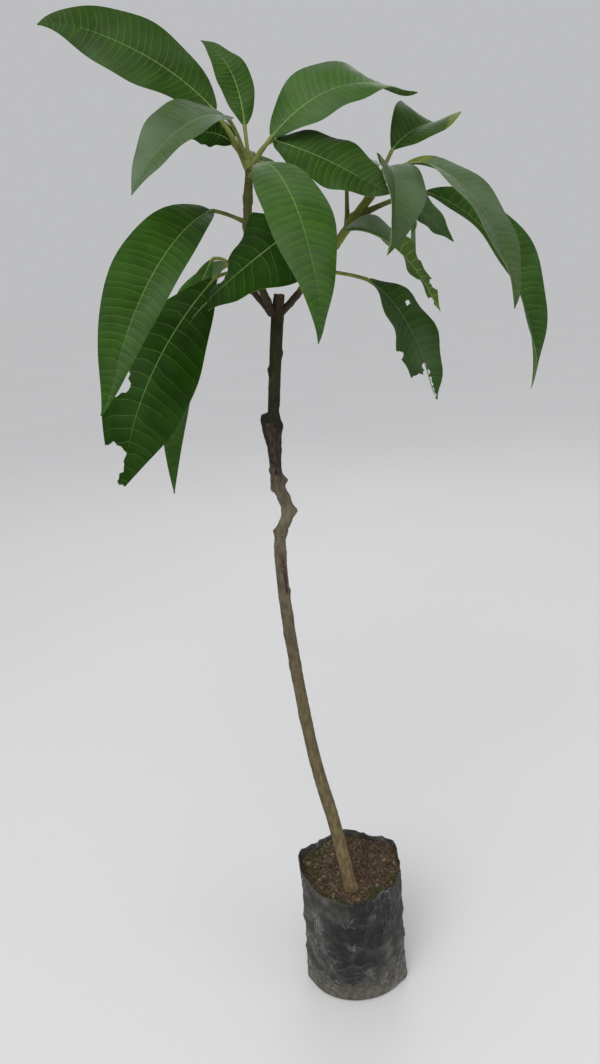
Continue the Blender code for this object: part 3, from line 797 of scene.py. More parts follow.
STALK_RING_STEPS = 16
STALK_SIDES = 12
STALK_RADIUS = 1.35 * MM
STALK_FOOT = 2.1 * MM
STALK_NECK = 1.5 * MM
RIB_START, RIB_END = 0.95 * MM, 0.28 * MM
RIB_SUNK = 0.45                  # how far the ridge lies under the blade, share of its radius
# Stalks that are stouter at their foot, and how many times
STOUTER = {"far_right": 1.6, "back_right": 1.4, "upper_left": 1.9, "upper_right": 1.5,
           "arching_right": 1.3, "small_top": 1.2}
STALK_LOOK, RIB_LOOK, SHOOT_LOOK = range(3)
# The shoot's radius at places along it, as a share of its limb's tip
SHOOT_TAPER = ((0, 1.0), (0.2, 1.02), (0.4, 0.98), (0.6, 1.04), (0.8, 1.0), (1.0, 0.9), (1.15, 0.6))
SHOOT_END = (1.3, 0.3 * MM)
SHOOT_SIDES = 20


def make_stalk(leaf, root, table):
    """The stalk that runs on as the midrib's ridge on the underside of its blade."""
    stalk = stalk_points(leaf, root, STALK_RING_STEPS)
    line = [np.array(point) for point in stalk[:-1]]
    radii = []
    stouter = STOUTER.get(leaf.name, 1.0) - 1
    for ring in range(STALK_RING_STEPS):
        t = ring / STALK_RING_STEPS
        swollen = (STALK_FOOT - STALK_RADIUS) * math.exp(-(t / 0.22) ** 2)
        neck = (STALK_NECK - STALK_RADIUS) * math.exp(-((1 - t) / 0.12) ** 2)
        radii.append((STALK_RADIUS + swollen) * (1 + stouter * (1 - t)) + neck)
    for row in range(0, int(0.97 * RIB_STEPS), 2):
        share = row / RIB_STEPS
        radius = RIB_END + (RIB_START - RIB_END) * (1.0 - share) ** 0.9
        radius += (STALK_NECK - RIB_START) * math.exp(-(share / 0.03) ** 2)
        sunk = RIB_SUNK * radius * min(1.0, share / 0.05)
        line.append(table[row, 0:3] - table[row, 6:9] * sunk)
        radii.append(radius)
    points, faces = tube(line, radii, STALK_SIDES)
    split = (STALK_RING_STEPS + 1) * STALK_SIDES
    numbers = [STALK_LOOK if min(face) < split and len(face) == 4 else RIB_LOOK for face in faces]
    return points, faces, numbers


def join_arrays(parts):
    """Several points-and-faces pairs as one, with their material numbers and corners."""
    points, faces, numbers, corners = [], [], [], []
    start = 0
    for part in parts:
        points.append(np.asarray(part[0]))
        faces.extend(tuple(index + start for index in face) for face in part[1])
        numbers.extend(part[2])
        corners.extend(part[3] if len(part) > 3 else [])
        start += len(part[0])
    return np.vstack(points), faces, numbers, corners


def tone_materials():
    """The materials of each tone's blades, in the order of their numbers."""
    tones = {}
    for tone, (colour, shade, sheen_share, shine) in TONES.items():
        vein = tuple(green + VEIN_PALENESS * rib for green, rib in zip(colour, RIB[0]))
        vein_shade = tuple(0.8 * part for part in vein)
        # darker copies of the tone, for the painted shade on the far halves of the bulges
        pleat_shaded, pleat_shaded_dark = (tuple(PAINTED_PLEAT_SHADE * part for part in look) for look in (colour, shade))
        tones[tone] = (blade_material("leaf_" + tone, colour, shade, 0.42, shine, 0.10, sheen_share),
                       blade_material("vein_" + tone, vein, vein_shade, 0.48, 0.12, 0.05),
                       blade_material("painted_pleat_shade_" + tone, pleat_shaded, pleat_shaded_dark, 0.42, shine, 0.10, sheen_share))
    shared = [blade_material("leaf_underside", *UNDERSIDE, 0.55, 0.12, 0.12),
              blade_material("leaf_underside_vein", *RIM, 0.5, 0.35, 0.05),
              # the rim: a paler edge with a painted backlit highlight
              blade_material("leaf_pale_rim_and_painted_backlight", *RIM, 0.5, 0.35, 0.05),
              blade_material("leaf_bitten_rim", *BITTEN, 0.8, 0.2, 0.10)]
    # the underside's copy with painted light, for parts that turn it up
    turned = blade_material("leaf_turned_up_painted_light", *UNDERSIDE_PAINTED_LIGHT, 0.55, 0.12, 0.12)
    return {tone: [upper, vein, *shared, pleat_shaded, turned] for tone, (upper, vein, pleat_shaded) in tones.items()}


def make_shoot(limb, axis):
    """Points, faces and material numbers of the shoot that bears a mass."""
    radius = girth_at(limb, 1.0) * 0.95
    places = [place for place, _ in SHOOT_TAPER] + [SHOOT_END[0]]
    radii = [radius * taper for _, taper in SHOOT_TAPER] + [SHOOT_END[1]]
    line = [np.array(axis[0].lerp(axis[-1], place)) for place in places]
    points, faces = tube(line, radii, SHOOT_SIDES)
    return points, faces, [SHOOT_LOOK] * len(faces)


def make_mass(name, mass, tones, stalk_looks, rng):
    """A mass of foliage: one piece with its blades, one with its stalks, midribs and shoot."""
    limb = BOUGHS[mass.limb]
    axis = shoot_line(limb, mass.shoot) if mass.shoot else smooth_path(limb.bends, limb.steps)
    blades, stalks, materials = [], [], []
    for index, leaf in enumerate(mass.leaves):
        root = point_at(axis, leaf.at)
        base = stalk_points(leaf, root, STALK_RING_STEPS)[-1]
        look = LOOKS.get(leaf.name, PLAIN_LOOK)
        points, faces, numbers, corners, table = make_blade(leaf, look, base, rng)
        numbers = [number + len(materials) for number in numbers]
        materials.extend(tones[look.tone])
        cell = [[((index + 0.02 + 0.96 * u) / len(mass.leaves), v) for u, v in corner]
                for corner in corners]
        blades.append((*used_only(points, faces), numbers, cell))
        stalks.append(make_stalk(leaf, root, table))
    points, faces, numbers, corners = join_arrays(blades)
    uv = [value for corner in corners for spot in corner for value in spot]
    leaves = add_piece(name + "_leaves", points, faces, materials, numbers, 60, uv)
    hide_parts(name)
    if mass.shoot:
        stalks.append(make_shoot(limb, axis))
    points, faces, numbers, _ = join_arrays(stalks)
    made = add_piece(name + "_stalks", points, faces, stalk_looks, numbers, 50)


# Bark

def ring_points(limb, rings):
    """Points evenly spaced along the limb, and the share of its length at each."""
    rough = smooth_path(limb.bends, 4 * limb.steps)
    along = shares_of(rough)
    even = np.linspace(0.0, 1.0, rings + 1)
    flat = np.array(rough)
    points = np.stack([np.interp(even, along, flat[:, part]) for part in range(3)], axis=1)
    return points, even


def in_scar(scars, spot, way):
    """Whether a point of the bark lies within a ragged scar."""
    angle = math.atan2(way.y, way.x)
    ragged = 1.0 + 0.9 * noise.noise(spot * 420)
    return any(((spot.z / MM - scar.height) / scar.tall) ** 2
               + (turn_between(angle, scar.azimuth) / scar.spread) ** 2 < ragged ** 2
               for scar in scars)


def bark_piece(node, limb, rings, sides, relief, materials, broken=0.0):
    """A limb whose bark stands out in relief, given in millimetres for a point and direction.
    The materials after the first are those of the scars. The tip is broken off unevenly by
    that many millimetres."""
    line, even = ring_points(limb, rings)
    firsts, seconds = tube_frames(line)
    radii = np.zeros((len(line), sides))
    numbers = []
    for ring in range(len(line)):
        radius = girth_at(limb, even[ring])
        for side in range(sides):
            angle = 2 * math.pi * side / sides
            way = Vector(firsts[ring] * math.cos(angle) + seconds[ring] * math.sin(angle))
            spot = Vector(line[ring]) + way * radius
            radii[ring, side] = radius + relief(spot, way) * MM
            numbers.append(next((number for number, scars in enumerate(SCARS[:len(materials) - 1], 1)
                                 if in_scar(scars, spot, way)), 0))
    points, faces = tube(line, radii, sides)
    for side in range(sides):
        jag = abs(noise.noise(Vector((3.1 * math.cos(side * 2 * math.pi / sides),
                                      3.1 * math.sin(side * 2 * math.pi / sides), 0.4))))
        points[len(points) - sides + side, 2] -= broken * MM * jag
    numbers = numbers[:len(faces) - 2] + [0, 0]
    piece = add_piece(node + "_bark", points, faces, materials, numbers, 50)
    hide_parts(node)


# A knob on the trunk: its height, the compass angle it points to, how far it stands out, its
# reach above and below in millimetres, and its spread in degrees. The seventh is the lip of
# the graft; those that stand out by less than 0 are hollows.
Knob = namedtuple("Knob", "height azimuth out above below spread")
KNOBS = [
    Knob(486, 352, 2.6, 3, 4, 34), Knob(470, 186, 2.0, 2.5, 4, 30), Knob(463, 350, -0.8, 5, 5, 50),
    Knob(505, 188, 2.4, 3, 2.5, 34), Knob(511, 2, 2.6, 3, 3, 34), Knob(499, 10, 0.9, 2, 3, 40),
    Knob(565, 188, 5.0, 1.2, 20, 42), Knob(556, 356, 1.9, 3, 4, 36), Knob(548, 356, 1.1, 6, 16, 60),
    Knob(560, 276, -1.6, 5, 7, 9), Knob(557, 312, -1.2, 5, 8, 8), Knob(521, 184, 1.1, 1.5, 4, 34),
    Knob(600, 186, 1.2, 2, 4, 26), Knob(612, 2, 1.0, 2, 4, 26), Knob(418, 356, 0.9, 2, 4, 30),
    Knob(395, 20, 0.7, 4, 6, 40), Knob(380, 188, 0.6, 3, 4, 40), Knob(300, 200, 0.6, 5, 5, 50),
]

# A scar on the bark: height, compass angle, reach up and down in millimetres, spread in degrees
Scar = namedtuple("Scar", "height azimuth tall spread")
DARK_SCARS = [Scar(430, 300, 15, 16), Scar(444, 288, 6, 9)]
PEELED_SCARS = [Scar(536, 285, 14, 55), Scar(523, 300, 6, 50), Scar(551, 250, 7, 30)]
SCARS = (DARK_SCARS, PEELED_SCARS)
KNEES = (440, 570)               # heights between which the bark is roughest, millimetres


# The bark's colour by share of the trunk's height; the lip of the graft is at about 0.82
TRUNK_ZONES = [
    (0.00, (0.205, 0.145, 0.072)), (0.12, (0.140, 0.108, 0.052)), (0.36, (0.118, 0.094, 0.050)),
    (0.54, (0.110, 0.086, 0.056)), (0.60, (0.104, 0.088, 0.056)), (0.68, (0.142, 0.120, 0.078)),
    (0.725, (0.090, 0.072, 0.050)), (0.75, (0.028, 0.020, 0.014)), (0.81, (0.016, 0.014, 0.010)),
    (0.83, (0.014, 0.018, 0.005)), (0.93, (0.024, 0.026, 0.008)), (0.985, (0.062, 0.032, 0.022)),
]
TRUNK_HEIGHTS = (0.115, 0.665)   # metres
BOUGH_HEIGHTS = (0.640, 0.700)


def trunk_relief(spot, way):
    """Fissures along the stem, lumps, and the named knobs, in millimetres."""
    height = spot.z / MM
    fine = noise.noise(Vector((spot.x * 900, spot.y * 900, spot.z * 160)))
    lump = noise.noise(spot * 110)
    ring = noise.noise(Vector((spot.x * 60, spot.y * 60, spot.z * 420)))
    rough = 1.0
    if height > KNEES[0]:
        rough = 2.2 if height < KNEES[1] else 0.8
    out = rough * (0.14 * fine + 0.22 * lump + 0.14 * ring)
    angle = math.atan2(way.y, way.x)
    for knob in KNOBS:
        rise = height - knob.height
        rise /= knob.above if rise > 0 else knob.below
        if abs(rise) < 2.5:
            turn = turn_between(angle, knob.azimuth)
            out += knob.out * math.exp(-rise * rise - (turn / knob.spread) ** 2)
    return out


def bough_relief(spot, way):
    """Fine grain, lumps and a few knobs, in millimetres."""
    fine = noise.noise(Vector((spot.x * 500, spot.y * 500, spot.z * 500)))
    lump = noise.noise(spot * 160)
    knob = max(0.0, noise.noise(Vector((spot.x * 90, spot.y * 90, spot.z * 230 + 7.0))))
    return 0.14 * fine + 0.30 * lump + 1.5 * knob ** 1.5


def trunk_material():
    """Bark in zones from the foot to the cut tip, mottled, with lichen and faint rings."""
    material, shader, place = new_material("trunk_bark", 0.78, 0.2)
    share = height_value(place, *TRUNK_HEIGHTS)
    zones = ramp(math_value("ADD", share, sway(place, 60.0, 4.0, 0.06)), TRUNK_ZONES)
    mottle = ramp(noise_value(place, 300.0, 5.0, (1, 1, 0.35)),
                  [(0.30, 0.55), (0.68, 1.25)])
    tone = mix_colour(1.0, zones, mottle, "MULTIPLY")
    lichen = ramp(noise_value(place, 95.0, 5.0), [(0.58, 0.0), (0.68, 0.30)])
    tone = mix_colour(lichen, tone, (0.150, 0.145, 0.085))
    rings = ramp(noise_value(place, 75.0, 4.0, (0.5, 0.5, 7.0)), [(0.52, 0.0), (0.60, 0.16)])
    tone = mix_colour(rings, tone, (0.045, 0.034, 0.020))
    link(tone, shader.inputs["Base Color"])
    first = bump(shader, noise_value(place, 900.0, 5.0, (1, 1, 0.3)), 0.35 * MM, 0.8)
    bump(shader, noise_value(place, 260.0, 4.0), 0.5 * MM, 0.5, first)
    return material


def scar_material(name, colour, shade):
    """Bare or peeling wood, streaked along the stem."""
    material, shader, place = new_material(name, 0.8, 0.2)
    streak = noise_value(place, 420.0, 5.0, (1, 1, 0.4))
    link(ramp(streak, [(0.38, colour), (0.62, shade)]), shader.inputs["Base Color"])
    bump(shader, streak, 0.5 * MM, 0.8)
    return material


def bough_material(name, olive, tip):
    """Young bark: dark brown at the fork, olive further up and greener at the tips."""
    material, shader, place = new_material(name, 0.6, 0.2)
    share = height_value(place, *BOUGH_HEIGHTS)
    zones = ramp(math_value("ADD", share, sway(place, 120.0, 4.0, 0.5)), [
        (0.00, (0.034, 0.023, 0.016)), (0.26, (0.050, 0.037, 0.020)), (0.46, olive), (0.76, tip)])
    freckle = ramp(noise_value(place, 700.0, 3.0), [(0.58, 0.0), (0.72, 0.5)])
    tone = mix_colour(freckle, zones, (0.050, 0.042, 0.020))
    link(tone, shader.inputs["Base Color"])
    bump(shader, noise_value(place, 800.0, 4.0), 0.25 * MM, 0.7)
    return material


# Nursery bag and soil

BAG_RADIUS = 48.5 * MM
BAG_FOOT_RADIUS = 46.0 * MM
BAG_HEIGHT = 130.0 * MM
BAG_GATHER = 11.0 * MM           # how far the foot is drawn in, front and back
BAG_GATHER_HEIGHT = 80.0 * MM    # the height where that ends
FILM = 0.3 * MM
BAG_TURN_STEPS, BAG_RISE_STEPS, FOOT_STEPS = 280, 156, 9
SOIL_TOP = 118.0 * MM
SOIL_EDGE_RISE = 4.0 * MM
SOIL_SINK = 4.0 * MM             # how much less it rises at the left
SOIL_SINK_AZIMUTH, SOIL_SINK_SPREAD = 172, 40.0
SOIL_RADIUS = 0.046

# How the open rim is bent out of round: compass angle, millimetres outwards, spread in degrees
Bend = namedtuple("Bend", "azimuth out spread")
RIM_BENDS = [Bend(30, 6.0, 15), Bend(153, 7.5, 15), Bend(90, 1.5, 25), Bend(-150, -2.5, 24),
             Bend(-58, -2.0, 22), Bend(-100, 0.8, 14)]
RIM_RISES = [Bend(170, 2.6, 32), Bend(34, 2.2, 22), Bend(100, 1.0, 20)]    # the same, upwards
BAG_SEAMS = (-20, 184)           # compass angles of the tube's two lay-flat edges
SEAM_OUT = 3.0 * MM              # how far they stand out as corners of the foot


def ridges(spot, scale):
    """Sharp-edged folds between 0 and 1."""
    return 1.0 - min(1.0, 2.6 * abs(noise.noise(spot * scale)))


def film_dent(angle, height):
    """How far the film stands out of its plain turned shape, in metres."""
    around = Vector((math.cos(angle), math.sin(angle), 0.0)) * BAG_RADIUS
    spot = Vector((around.x, around.y, 0.62 * height))
    broad = noise.noise(spot * 24 + Vector((3, 1, 5)))
    slanted = Vector((spot.x + 0.5 * spot.z, spot.y, 0.8 * spot.z - 0.4 * spot.x))
    crumple = (1.5 * ridges(slanted, 34) ** 4 + 0.9 * ridges(spot, 60) ** 3
               + 0.6 * ridges(slanted, 120) ** 3 + 0.3 * ridges(spot, 240) ** 2)
    seam = sum(math.exp(-(turn_between(angle, azimuth) / 11.0) ** 2) for azimuth in BAG_SEAMS)
    low = min(1.0, height / 0.02)
    out = min(1.2 * broad + crumple - 1.7, 0.6) * MM * low
    return out + SEAM_OUT * seam * max(0.0, 1.0 - height / BAG_HEIGHT)


def rim_height(angle):
    """Height of the torn-off rim at an angle."""
    spot = Vector((math.cos(angle) * 1.6, math.sin(angle) * 1.6, 0.3))
    raised = sum(bend.out * math.exp(-(turn_between(angle, bend.azimuth) / bend.spread) ** 2)
                 for bend in RIM_RISES)
    return (BAG_HEIGHT - 2.6 * MM + raised * MM + 2.4 * MM * noise.noise(spot)
            + 1.2 * MM * noise.noise(spot * 4))


def film_spot(angle, height, inset=0.0):
    """Where the film's outside stands at an angle and a height, in x and y."""
    corner = BAG_RADIUS - BAG_FOOT_RADIUS
    radius = BAG_RADIUS - 0.6 * MM - inset
    if height < corner:
        drop = 1.0 - height / corner
        radius -= corner * (1.0 - math.sqrt(max(0.0, 1.0 - drop * drop)))
    opened = float(smooth_step((height / BAG_HEIGHT - 0.55) / 0.45))
    for bend in RIM_BENDS:
        bent = math.exp(-(turn_between(angle, bend.azimuth) / bend.spread) ** 2)
        radius += opened * bend.out * MM * bent
    radius += film_dent(angle, height)
    gathered = BAG_GATHER * max(0.0, 1.0 - height / BAG_GATHER_HEIGHT) ** 2
    return radius * math.cos(angle), (radius - gathered) * math.sin(angle)


# Where rain has washed the film clean: places on its front, in metres
CLEAN_SPOTS = [(0.036, -0.033, 0.106), (0.022, -0.043, 0.112), (0.006, -0.047, 0.114),
               (-0.012, -0.046, 0.094), (0.004, -0.046, 0.088), (0.018, -0.044, 0.084),
               (-0.014, -0.044, 0.066), (0.002, -0.044, 0.058), (-0.008, -0.042, 0.042)]
FILM_BLACK = (0.009, 0.009, 0.0105)
MUD = ((0.034, 0.033, 0.029), (0.060, 0.058, 0.051), (0.112, 0.106, 0.090))
LOW_MUD = ((0.075, 0.069, 0.056), (0.165, 0.150, 0.122))
LOW_MUD_TOP = 50.0 * MM
CREASE = (0.400, 0.400, 0.385)
# The creases' noise: scale, stretch and how pale they are
CREASES = ((26.0, (1.0, 1.0, 0.5), 0.42), (52.0, (0.6, 0.6, 1.3), 0.36), (95.0, (1.0, 1.0, 0.8), 0.30))


def bag_material():
    """Black film, mud-stained at its sides and foot, clean in a band down its front."""
    material, shader, place = new_material("black_film", 0.38, 0.22)
    cloud = sway(place, 62.0, 5.0, 1.2)
    away = math_value("MULTIPLY", nearest_value(place, CLEAN_SPOTS), 30.0)
    dirt = math_value("ADD", away, cloud)
    mask = ramp(dirt, [(0.34, 0.04), (0.50, 0.60), (0.95, 0.95)])
    mud = ramp(noise_value(place, 75.0, 5.0), list(zip((0.36, 0.52, 0.66), MUD)))
    low_mud = ramp(noise_value(place, 210.0, 6.0), [(0.36, LOW_MUD[0]), (0.62, LOW_MUD[1])])
    stray = sway(place, 40.0, 5.0, 1.6)
    depth = ramp(math_value("ADD", height_value(place, 0.0, LOW_MUD_TOP), stray),
                 [(0.30, 0.85), (0.75, 0.0)])
    mud = mix_colour(depth, mud, low_mud)
    tone = mix_colour(mask, FILM_BLACK, mud)
    for scale, stretch, level in CREASES:
        folds = noise_value(place, scale, 3.0, stretch, 1.6)
        crease = math_value("ABSOLUTE", math_value("SUBTRACT", folds, 0.5))
        line = ramp(crease, [(0.0, level), (0.016, 0.0)])
        patchy = ramp(noise_value(place, 42.0, 3.0), [(0.50, 0.0), (0.58, 1.0)])
        stained = ramp(dirt, [(0.25, 0.35), (0.60, 1.0)])
        there = mix_colour(1.0, patchy, stained, "MULTIPLY")
        tone = mix_colour(mix_colour(1.0, line, there, "MULTIPLY"), tone, CREASE)
    link(tone, shader.inputs["Base Color"])
    dull = ramp(dirt, [(0.3, 0.34), (0.7, 0.75)])
    link(dull, shader.inputs["Roughness"])
    first = bump(shader, noise_value(place, 130.0, 5.0, (1, 1, 0.6), 1.8), 1.0 * MM, 0.6)
    bump(shader, noise_value(place, 900.0, 4.0), 0.15 * MM, 0.5, first)
    return material


def ring_angles():
    """The angles of the film's columns."""
    return [2 * math.pi * side / BAG_TURN_STEPS for side in range(BAG_TURN_STEPS)]


def make_bag():
    """The film: a crumpled shell with a foot that lies flat and an uneven rim."""
    shape = bmesh.new()
    rows = []
    for step in range(1, FOOT_STEPS):
        part = step / FOOT_STEPS
        rows.append([shape.verts.new((part * x, part * y, 0.0))
                     for x, y in (film_spot(turn, 0.0) for turn in ring_angles())])
    for step in range(BAG_RISE_STEPS + 1):
        part = step / BAG_RISE_STEPS
        row = []
        for turn in ring_angles():
            height = rim_height(turn) * (0.35 * part + 0.65 * part ** 1.5)
            x, y = film_spot(turn, height)
            row.append(shape.verts.new((x, y, height)))
        rows.append(row)
    for low, high in zip(rows, rows[1:]):
        for side in range(BAG_TURN_STEPS):
            after = (side + 1) % BAG_TURN_STEPS
            shape.faces.new((low[side], low[after], high[after], high[side]))
    middle = shape.verts.new((0.0, 0.0, 0.0))
    for side in range(BAG_TURN_STEPS):
        shape.faces.new((middle, rows[0][(side + 1) % BAG_TURN_STEPS], rows[0][side]))
    mesh = bpy.data.meshes.new("nursery_bag")
    shape.to_mesh(mesh)
    shape.free()
    mesh.materials.append(bag_material())
    mesh.shade_smooth()
    bag = bpy.data.objects.new("nursery_bag", mesh)
    bpy.context.scene.collection.objects.link(bag)
    film = bag.modifiers.new("film", "SOLIDIFY")
    film.thickness = FILM
    film.offset = -1.0
    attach(bag, "root")
    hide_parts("bag")


def soil_height(x, y):
    """Height of the soil's surface: level round the stem, higher along the film, lumpy."""
    out = math.hypot(x, y) / SOIL_RADIUS
    left = turn_between(math.atan2(y, x), SOIL_SINK_AZIMUTH)
    rise = SOIL_EDGE_RISE - SOIL_SINK * math.exp(-(left / SOIL_SINK_SPREAD) ** 2)
    level = SOIL_TOP + rise * smooth_step((out - 0.6) / 0.4)
    spot = Vector((x, y, 0.0))
    lumps = 2.4 * noise.noise(spot * 70) + 1.3 * noise.noise(spot * 200) + 0.7 * noise.noise(spot * 480)
    return level + lumps * MM


def soil_material(name, colour, shade):
    """Crumbly earth."""
    material, shader, place = new_material(name, 0.95, 0.1)
    tone = ramp(noise_value(place, 350.0, 6.0), [(0.36, colour), (0.64, shade)])
    link(tone, shader.inputs["Base Color"])
    bump(shader, noise_value(place, 1200.0, 6.0), 0.6 * MM, 0.9)
    return material


SOIL_TURNS, SOIL_RINGS, SOIL_DEPTHS = 160, 60, 30


def make_soil(rng):
    """The filling: its lumpy surface, and a side that follows the film down to the foot."""
    turns, rings = SOIL_TURNS, SOIL_RINGS
    points, faces = [], []
    brim = SOIL_TOP + SOIL_EDGE_RISE
    edge = [film_spot(2 * math.pi * side / turns, brim, FILM + 0.35 * MM) for side in range(turns)]
    for ring in range(rings + 1):
        part = max(ring / rings, 0.004)
        for x, y in edge:
            points.append((part * x, part * y, soil_height(part * x, part * y)))
    depths = [brim * (1.0 - step / SOIL_DEPTHS) + FILM + 0.4 * MM for step in range(1, SOIL_DEPTHS + 1)]
    for depth in depths:
        for side in range(turns):
            x, y = film_spot(2 * math.pi * side / turns, depth, FILM + 0.8 * MM)
            points.append((x, y, depth))
    for ring in range(rings + len(depths)):
        for side in range(turns):
            after = (side + 1) % turns
            low, high = ring * turns, (ring + 1) * turns
            faces.append((low + side, high + side, high + after, low + after))
    faces.append(tuple(range(turns)))
    last = (rings + len(depths)) * turns
    faces.append(tuple(range(last + turns - 1, last - 1, -1)))
    earth = soil_material("soil_earth", (0.050, 0.036, 0.022), (0.115, 0.086, 0.054))
    soil = add_piece("soil_surface", points, faces, [earth], None, 40)
    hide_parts("soil")
    make_crumbs(rng)


CRUMBS = 2600
CRUMB_SIZES = (0.35, 0.8, 1.5, 2.6)    # millimetres; each step up is rarer
BROWN, RED, TAN, MOSS = range(4)
STEM_FOOT = (-0.0014, -0.0187)         # where the trunk stands, in metres, and how much room it has
STEM_ROOM = 0.0085
MOSS_SPOTS = [(-38, 8, 12), (-32, 24, 10), (-28, -30, 10), (-14, -40, 8), (24, -30, 11),
              (38, -12, 9)]           # x, y and reach in millimetres


def make_crumbs(rng):
    """Crumbs of earth, small stones and cushions of moss, joined into one piece."""
    template = bmesh.new()
    bmesh.ops.create_icosphere(template, subdivisions=2, radius=1.0)
    ball = [vertex.co.copy() for vertex in template.verts]
    ball_faces = [tuple(vertex.index for vertex in face.verts) for face in template.faces]
    template.free()
    points, faces, numbers = [], [], []
    for _ in range(CRUMBS):
        angle = rng.uniform(0, 2 * math.pi)
        edge_x, edge_y = film_spot(angle, SOIL_TOP, 2.0 * MM)
        out = math.sqrt(rng.uniform(0, 1))
        x, y = out * edge_x, out * edge_y
        if math.hypot(x - STEM_FOOT[0], y - STEM_FOOT[1]) < STEM_ROOM:
            continue
        green = max(math.exp(-(math.hypot(x / MM - moss_x, y / MM - moss_y) / reach) ** 2)
                    for moss_x, moss_y, reach in MOSS_SPOTS)
        if rng.random() < 0.9 * green:
            kind, size = MOSS, rng.uniform(0.5, 1.2) * MM
        else:
            redder = x > 0.0 and y > -0.015 and rng.random() < 0.5
            kind = RED if redder else rng.choice((BROWN, BROWN, BROWN, RED, TAN))
            step = min(int(rng.expovariate(1.5)), 2)
            size = rng.uniform(CRUMB_SIZES[step], CRUMB_SIZES[step + 1]) * MM
        start = len(points)
        stretch = Vector((rng.uniform(0.8, 1.3), rng.uniform(0.8, 1.3), rng.uniform(0.6, 1.0)))
        shift = Vector((rng.uniform(0, 50), rng.uniform(0, 50), rng.uniform(0, 50)))
        centre = Vector((x, y, soil_height(x, y) + 0.25 * size))
        for spot in ball:
            lump = 1.0 + 0.35 * noise.noise(spot * 1.3 + shift)
            points.append(centre + spot * stretch * size * lump)
        faces.extend(tuple(corner + start for corner in face) for face in ball_faces)
        numbers.extend([kind] * len(ball_faces))
    materials = [soil_material("crumb_brown", (0.048, 0.034, 0.021), (0.108, 0.082, 0.052)),
                 soil_material("crumb_red", (0.046, 0.026, 0.017), (0.100, 0.062, 0.041)),
                 soil_material("crumb_tan", (0.100, 0.080, 0.052), (0.180, 0.146, 0.100)),
                 soil_material("moss", (0.026, 0.030, 0.009), (0.062, 0.066, 0.020))]
    crumbs = add_piece("soil_crumbs", points, faces, materials, numbers, 70)


# Stage

CAMERA_PLACE = (-0.020, -0.601, 0.663)
CAMERA_PITCH = 18.0              # degrees below level
CAMERA_ROLL = 5.0
PHOTO_LONG_SIDE = 1064
FOCAL_PIXELS = 768
SENSOR = 36.0


def make_camera():
    """A camera where the photograph was taken from, rolled as it was held."""
    pitch, roll = math.radians(CAMERA_PITCH), math.radians(CAMERA_ROLL)
    ahead = Vector((0.0, math.cos(pitch), -math.sin(pitch)))
    upright = Vector((0.0, math.sin(pitch), math.cos(pitch)))
    level = Vector((1.0, 0.0, 0.0))
    right = level * math.cos(roll) - upright * math.sin(roll)
    up = level * math.sin(roll) + upright * math.cos(roll)
    data = bpy.data.cameras.new("camera")
    data.sensor_width = SENSOR
    data.lens = SENSOR * FOCAL_PIXELS / PHOTO_LONG_SIDE
    data.clip_start = 0.01
    data.clip_end = 50.0
    camera = bpy.data.objects.new("camera", data)
    turned = Matrix((right, up, -ahead)).transposed().to_4x4()
    camera.matrix_world = Matrix.Translation(CAMERA_PLACE) @ turned
    bpy.context.scene.collection.objects.link(camera)
    bpy.context.scene.camera = camera


def add_light(name, place, target, size, power):
    """A round soft lamp that points at a target."""
    data = bpy.data.lights.new(name, "AREA")
    data.shape = "DISK"
    data.size = size
    data.energy = power
    light = bpy.data.objects.new(name, data)
    light.location = place
    light.rotation_euler = (Vector(target) - Vector(place)).to_track_quat("-Z", "Y").to_euler()
    bpy.context.scene.collection.objects.link(light)


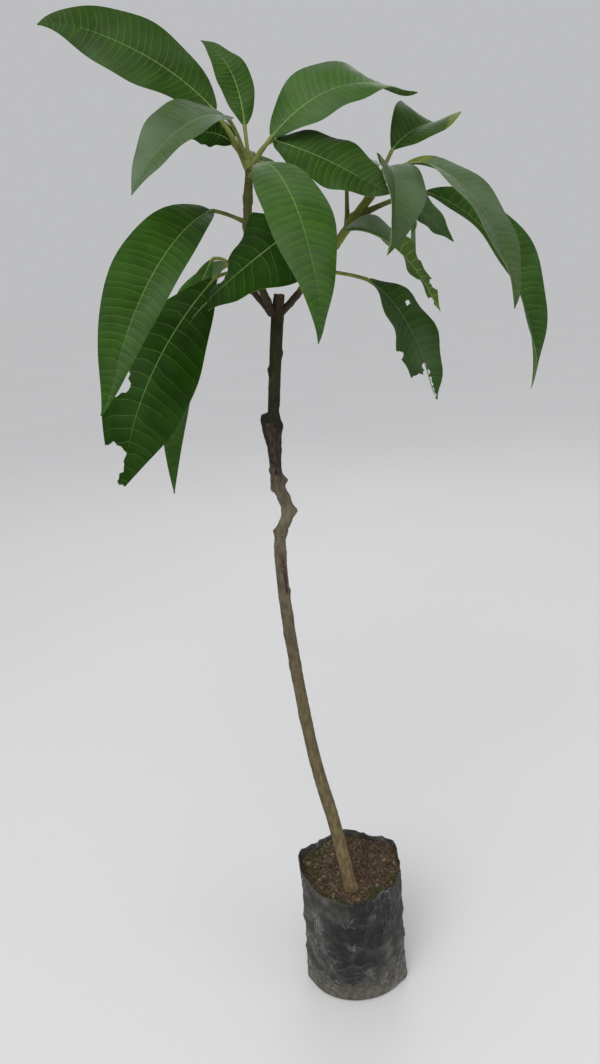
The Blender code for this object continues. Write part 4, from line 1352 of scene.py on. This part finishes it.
def make_stage():
    """A plain pale floor, a pale sky and soft lamps."""
    bpy.ops.mesh.primitive_plane_add(size=80.0, location=(0.0, 0.0, -0.0004))
    floor = bpy.context.object
    floor.name = "floor"
    material, shader, place = new_material("floor", 0.9, 0.2)
    tone = ramp(noise_value(place, 1.5, 4.0), [(0.3, 0.66), (0.7, 0.68)])
    link(tone, shader.inputs["Base Color"])
    floor.data.materials.append(material)
    world = bpy.context.scene.world or bpy.data.worlds.new("world")
    bpy.context.scene.world = world
    world.use_nodes = True
    background = world.node_tree.nodes["Background"]
    background.inputs["Color"].default_value = (0.60, 0.605, 0.62, 1.0)
    background.inputs["Strength"].default_value = 0.85
    sun = bpy.data.lights.new("sky_sun", "SUN")
    sun.energy = 0.9
    sun.angle = math.radians(50)
    high = bpy.data.objects.new("sky_sun", sun)
    high.rotation_euler = (math.radians(28), math.radians(-12), 0.0)
    bpy.context.scene.collection.objects.link(high)
    add_light("key", (-0.7, -1.5, 2.0), (0.0, 0.0, 0.5), 1.6, 19.0)
    add_light("fill", (1.6, -1.0, 1.1), (0.0, 0.0, 0.5), 1.4, 6.0)
    add_light("back", (0.3, 1.6, 1.8), (0.0, 0.0, 0.6), 1.4, 6.0)
    bpy.context.scene.view_settings.view_transform = "Standard"


def main():
    rng = random.Random(LEAF_SEED)
    make_camera()
    make_stage()
    tones = tone_materials()
    bough_look = bough_material("young_bark", (0.150, 0.155, 0.034), (0.215, 0.245, 0.044))
    old_look = bough_material("older_bark", (0.050, 0.048, 0.016), (0.082, 0.088, 0.022))
    stalk_looks = [stalk_material("stalk_green", *STALK, 0.5),
                   stalk_material("midrib_green", *RIB, 0.45)]
    for name, mass in MASSES.items():
        shoot_look = old_look if mass.limb == "bough_left_tall" else bough_look
        make_mass(name, mass, tones, stalk_looks + [shoot_look], rng)
    bark_looks = [trunk_material(),
                  scar_material("dark_scar", (0.030, 0.014, 0.016), (0.070, 0.045, 0.040)),
                  scar_material("peeled_scar", (0.017, 0.011, 0.008), (0.048, 0.034, 0.025))]
    bark_piece("trunk", TRUNK, 640, 56, trunk_relief, bark_looks, 7.0)
    for name, limb in BOUGHS.items():
        look = old_look if name == "bough_left_tall" else bough_look
        bark_piece(name, limb, 110, 28, bough_relief, [look])
    make_bag()
    make_soil(rng)


main()
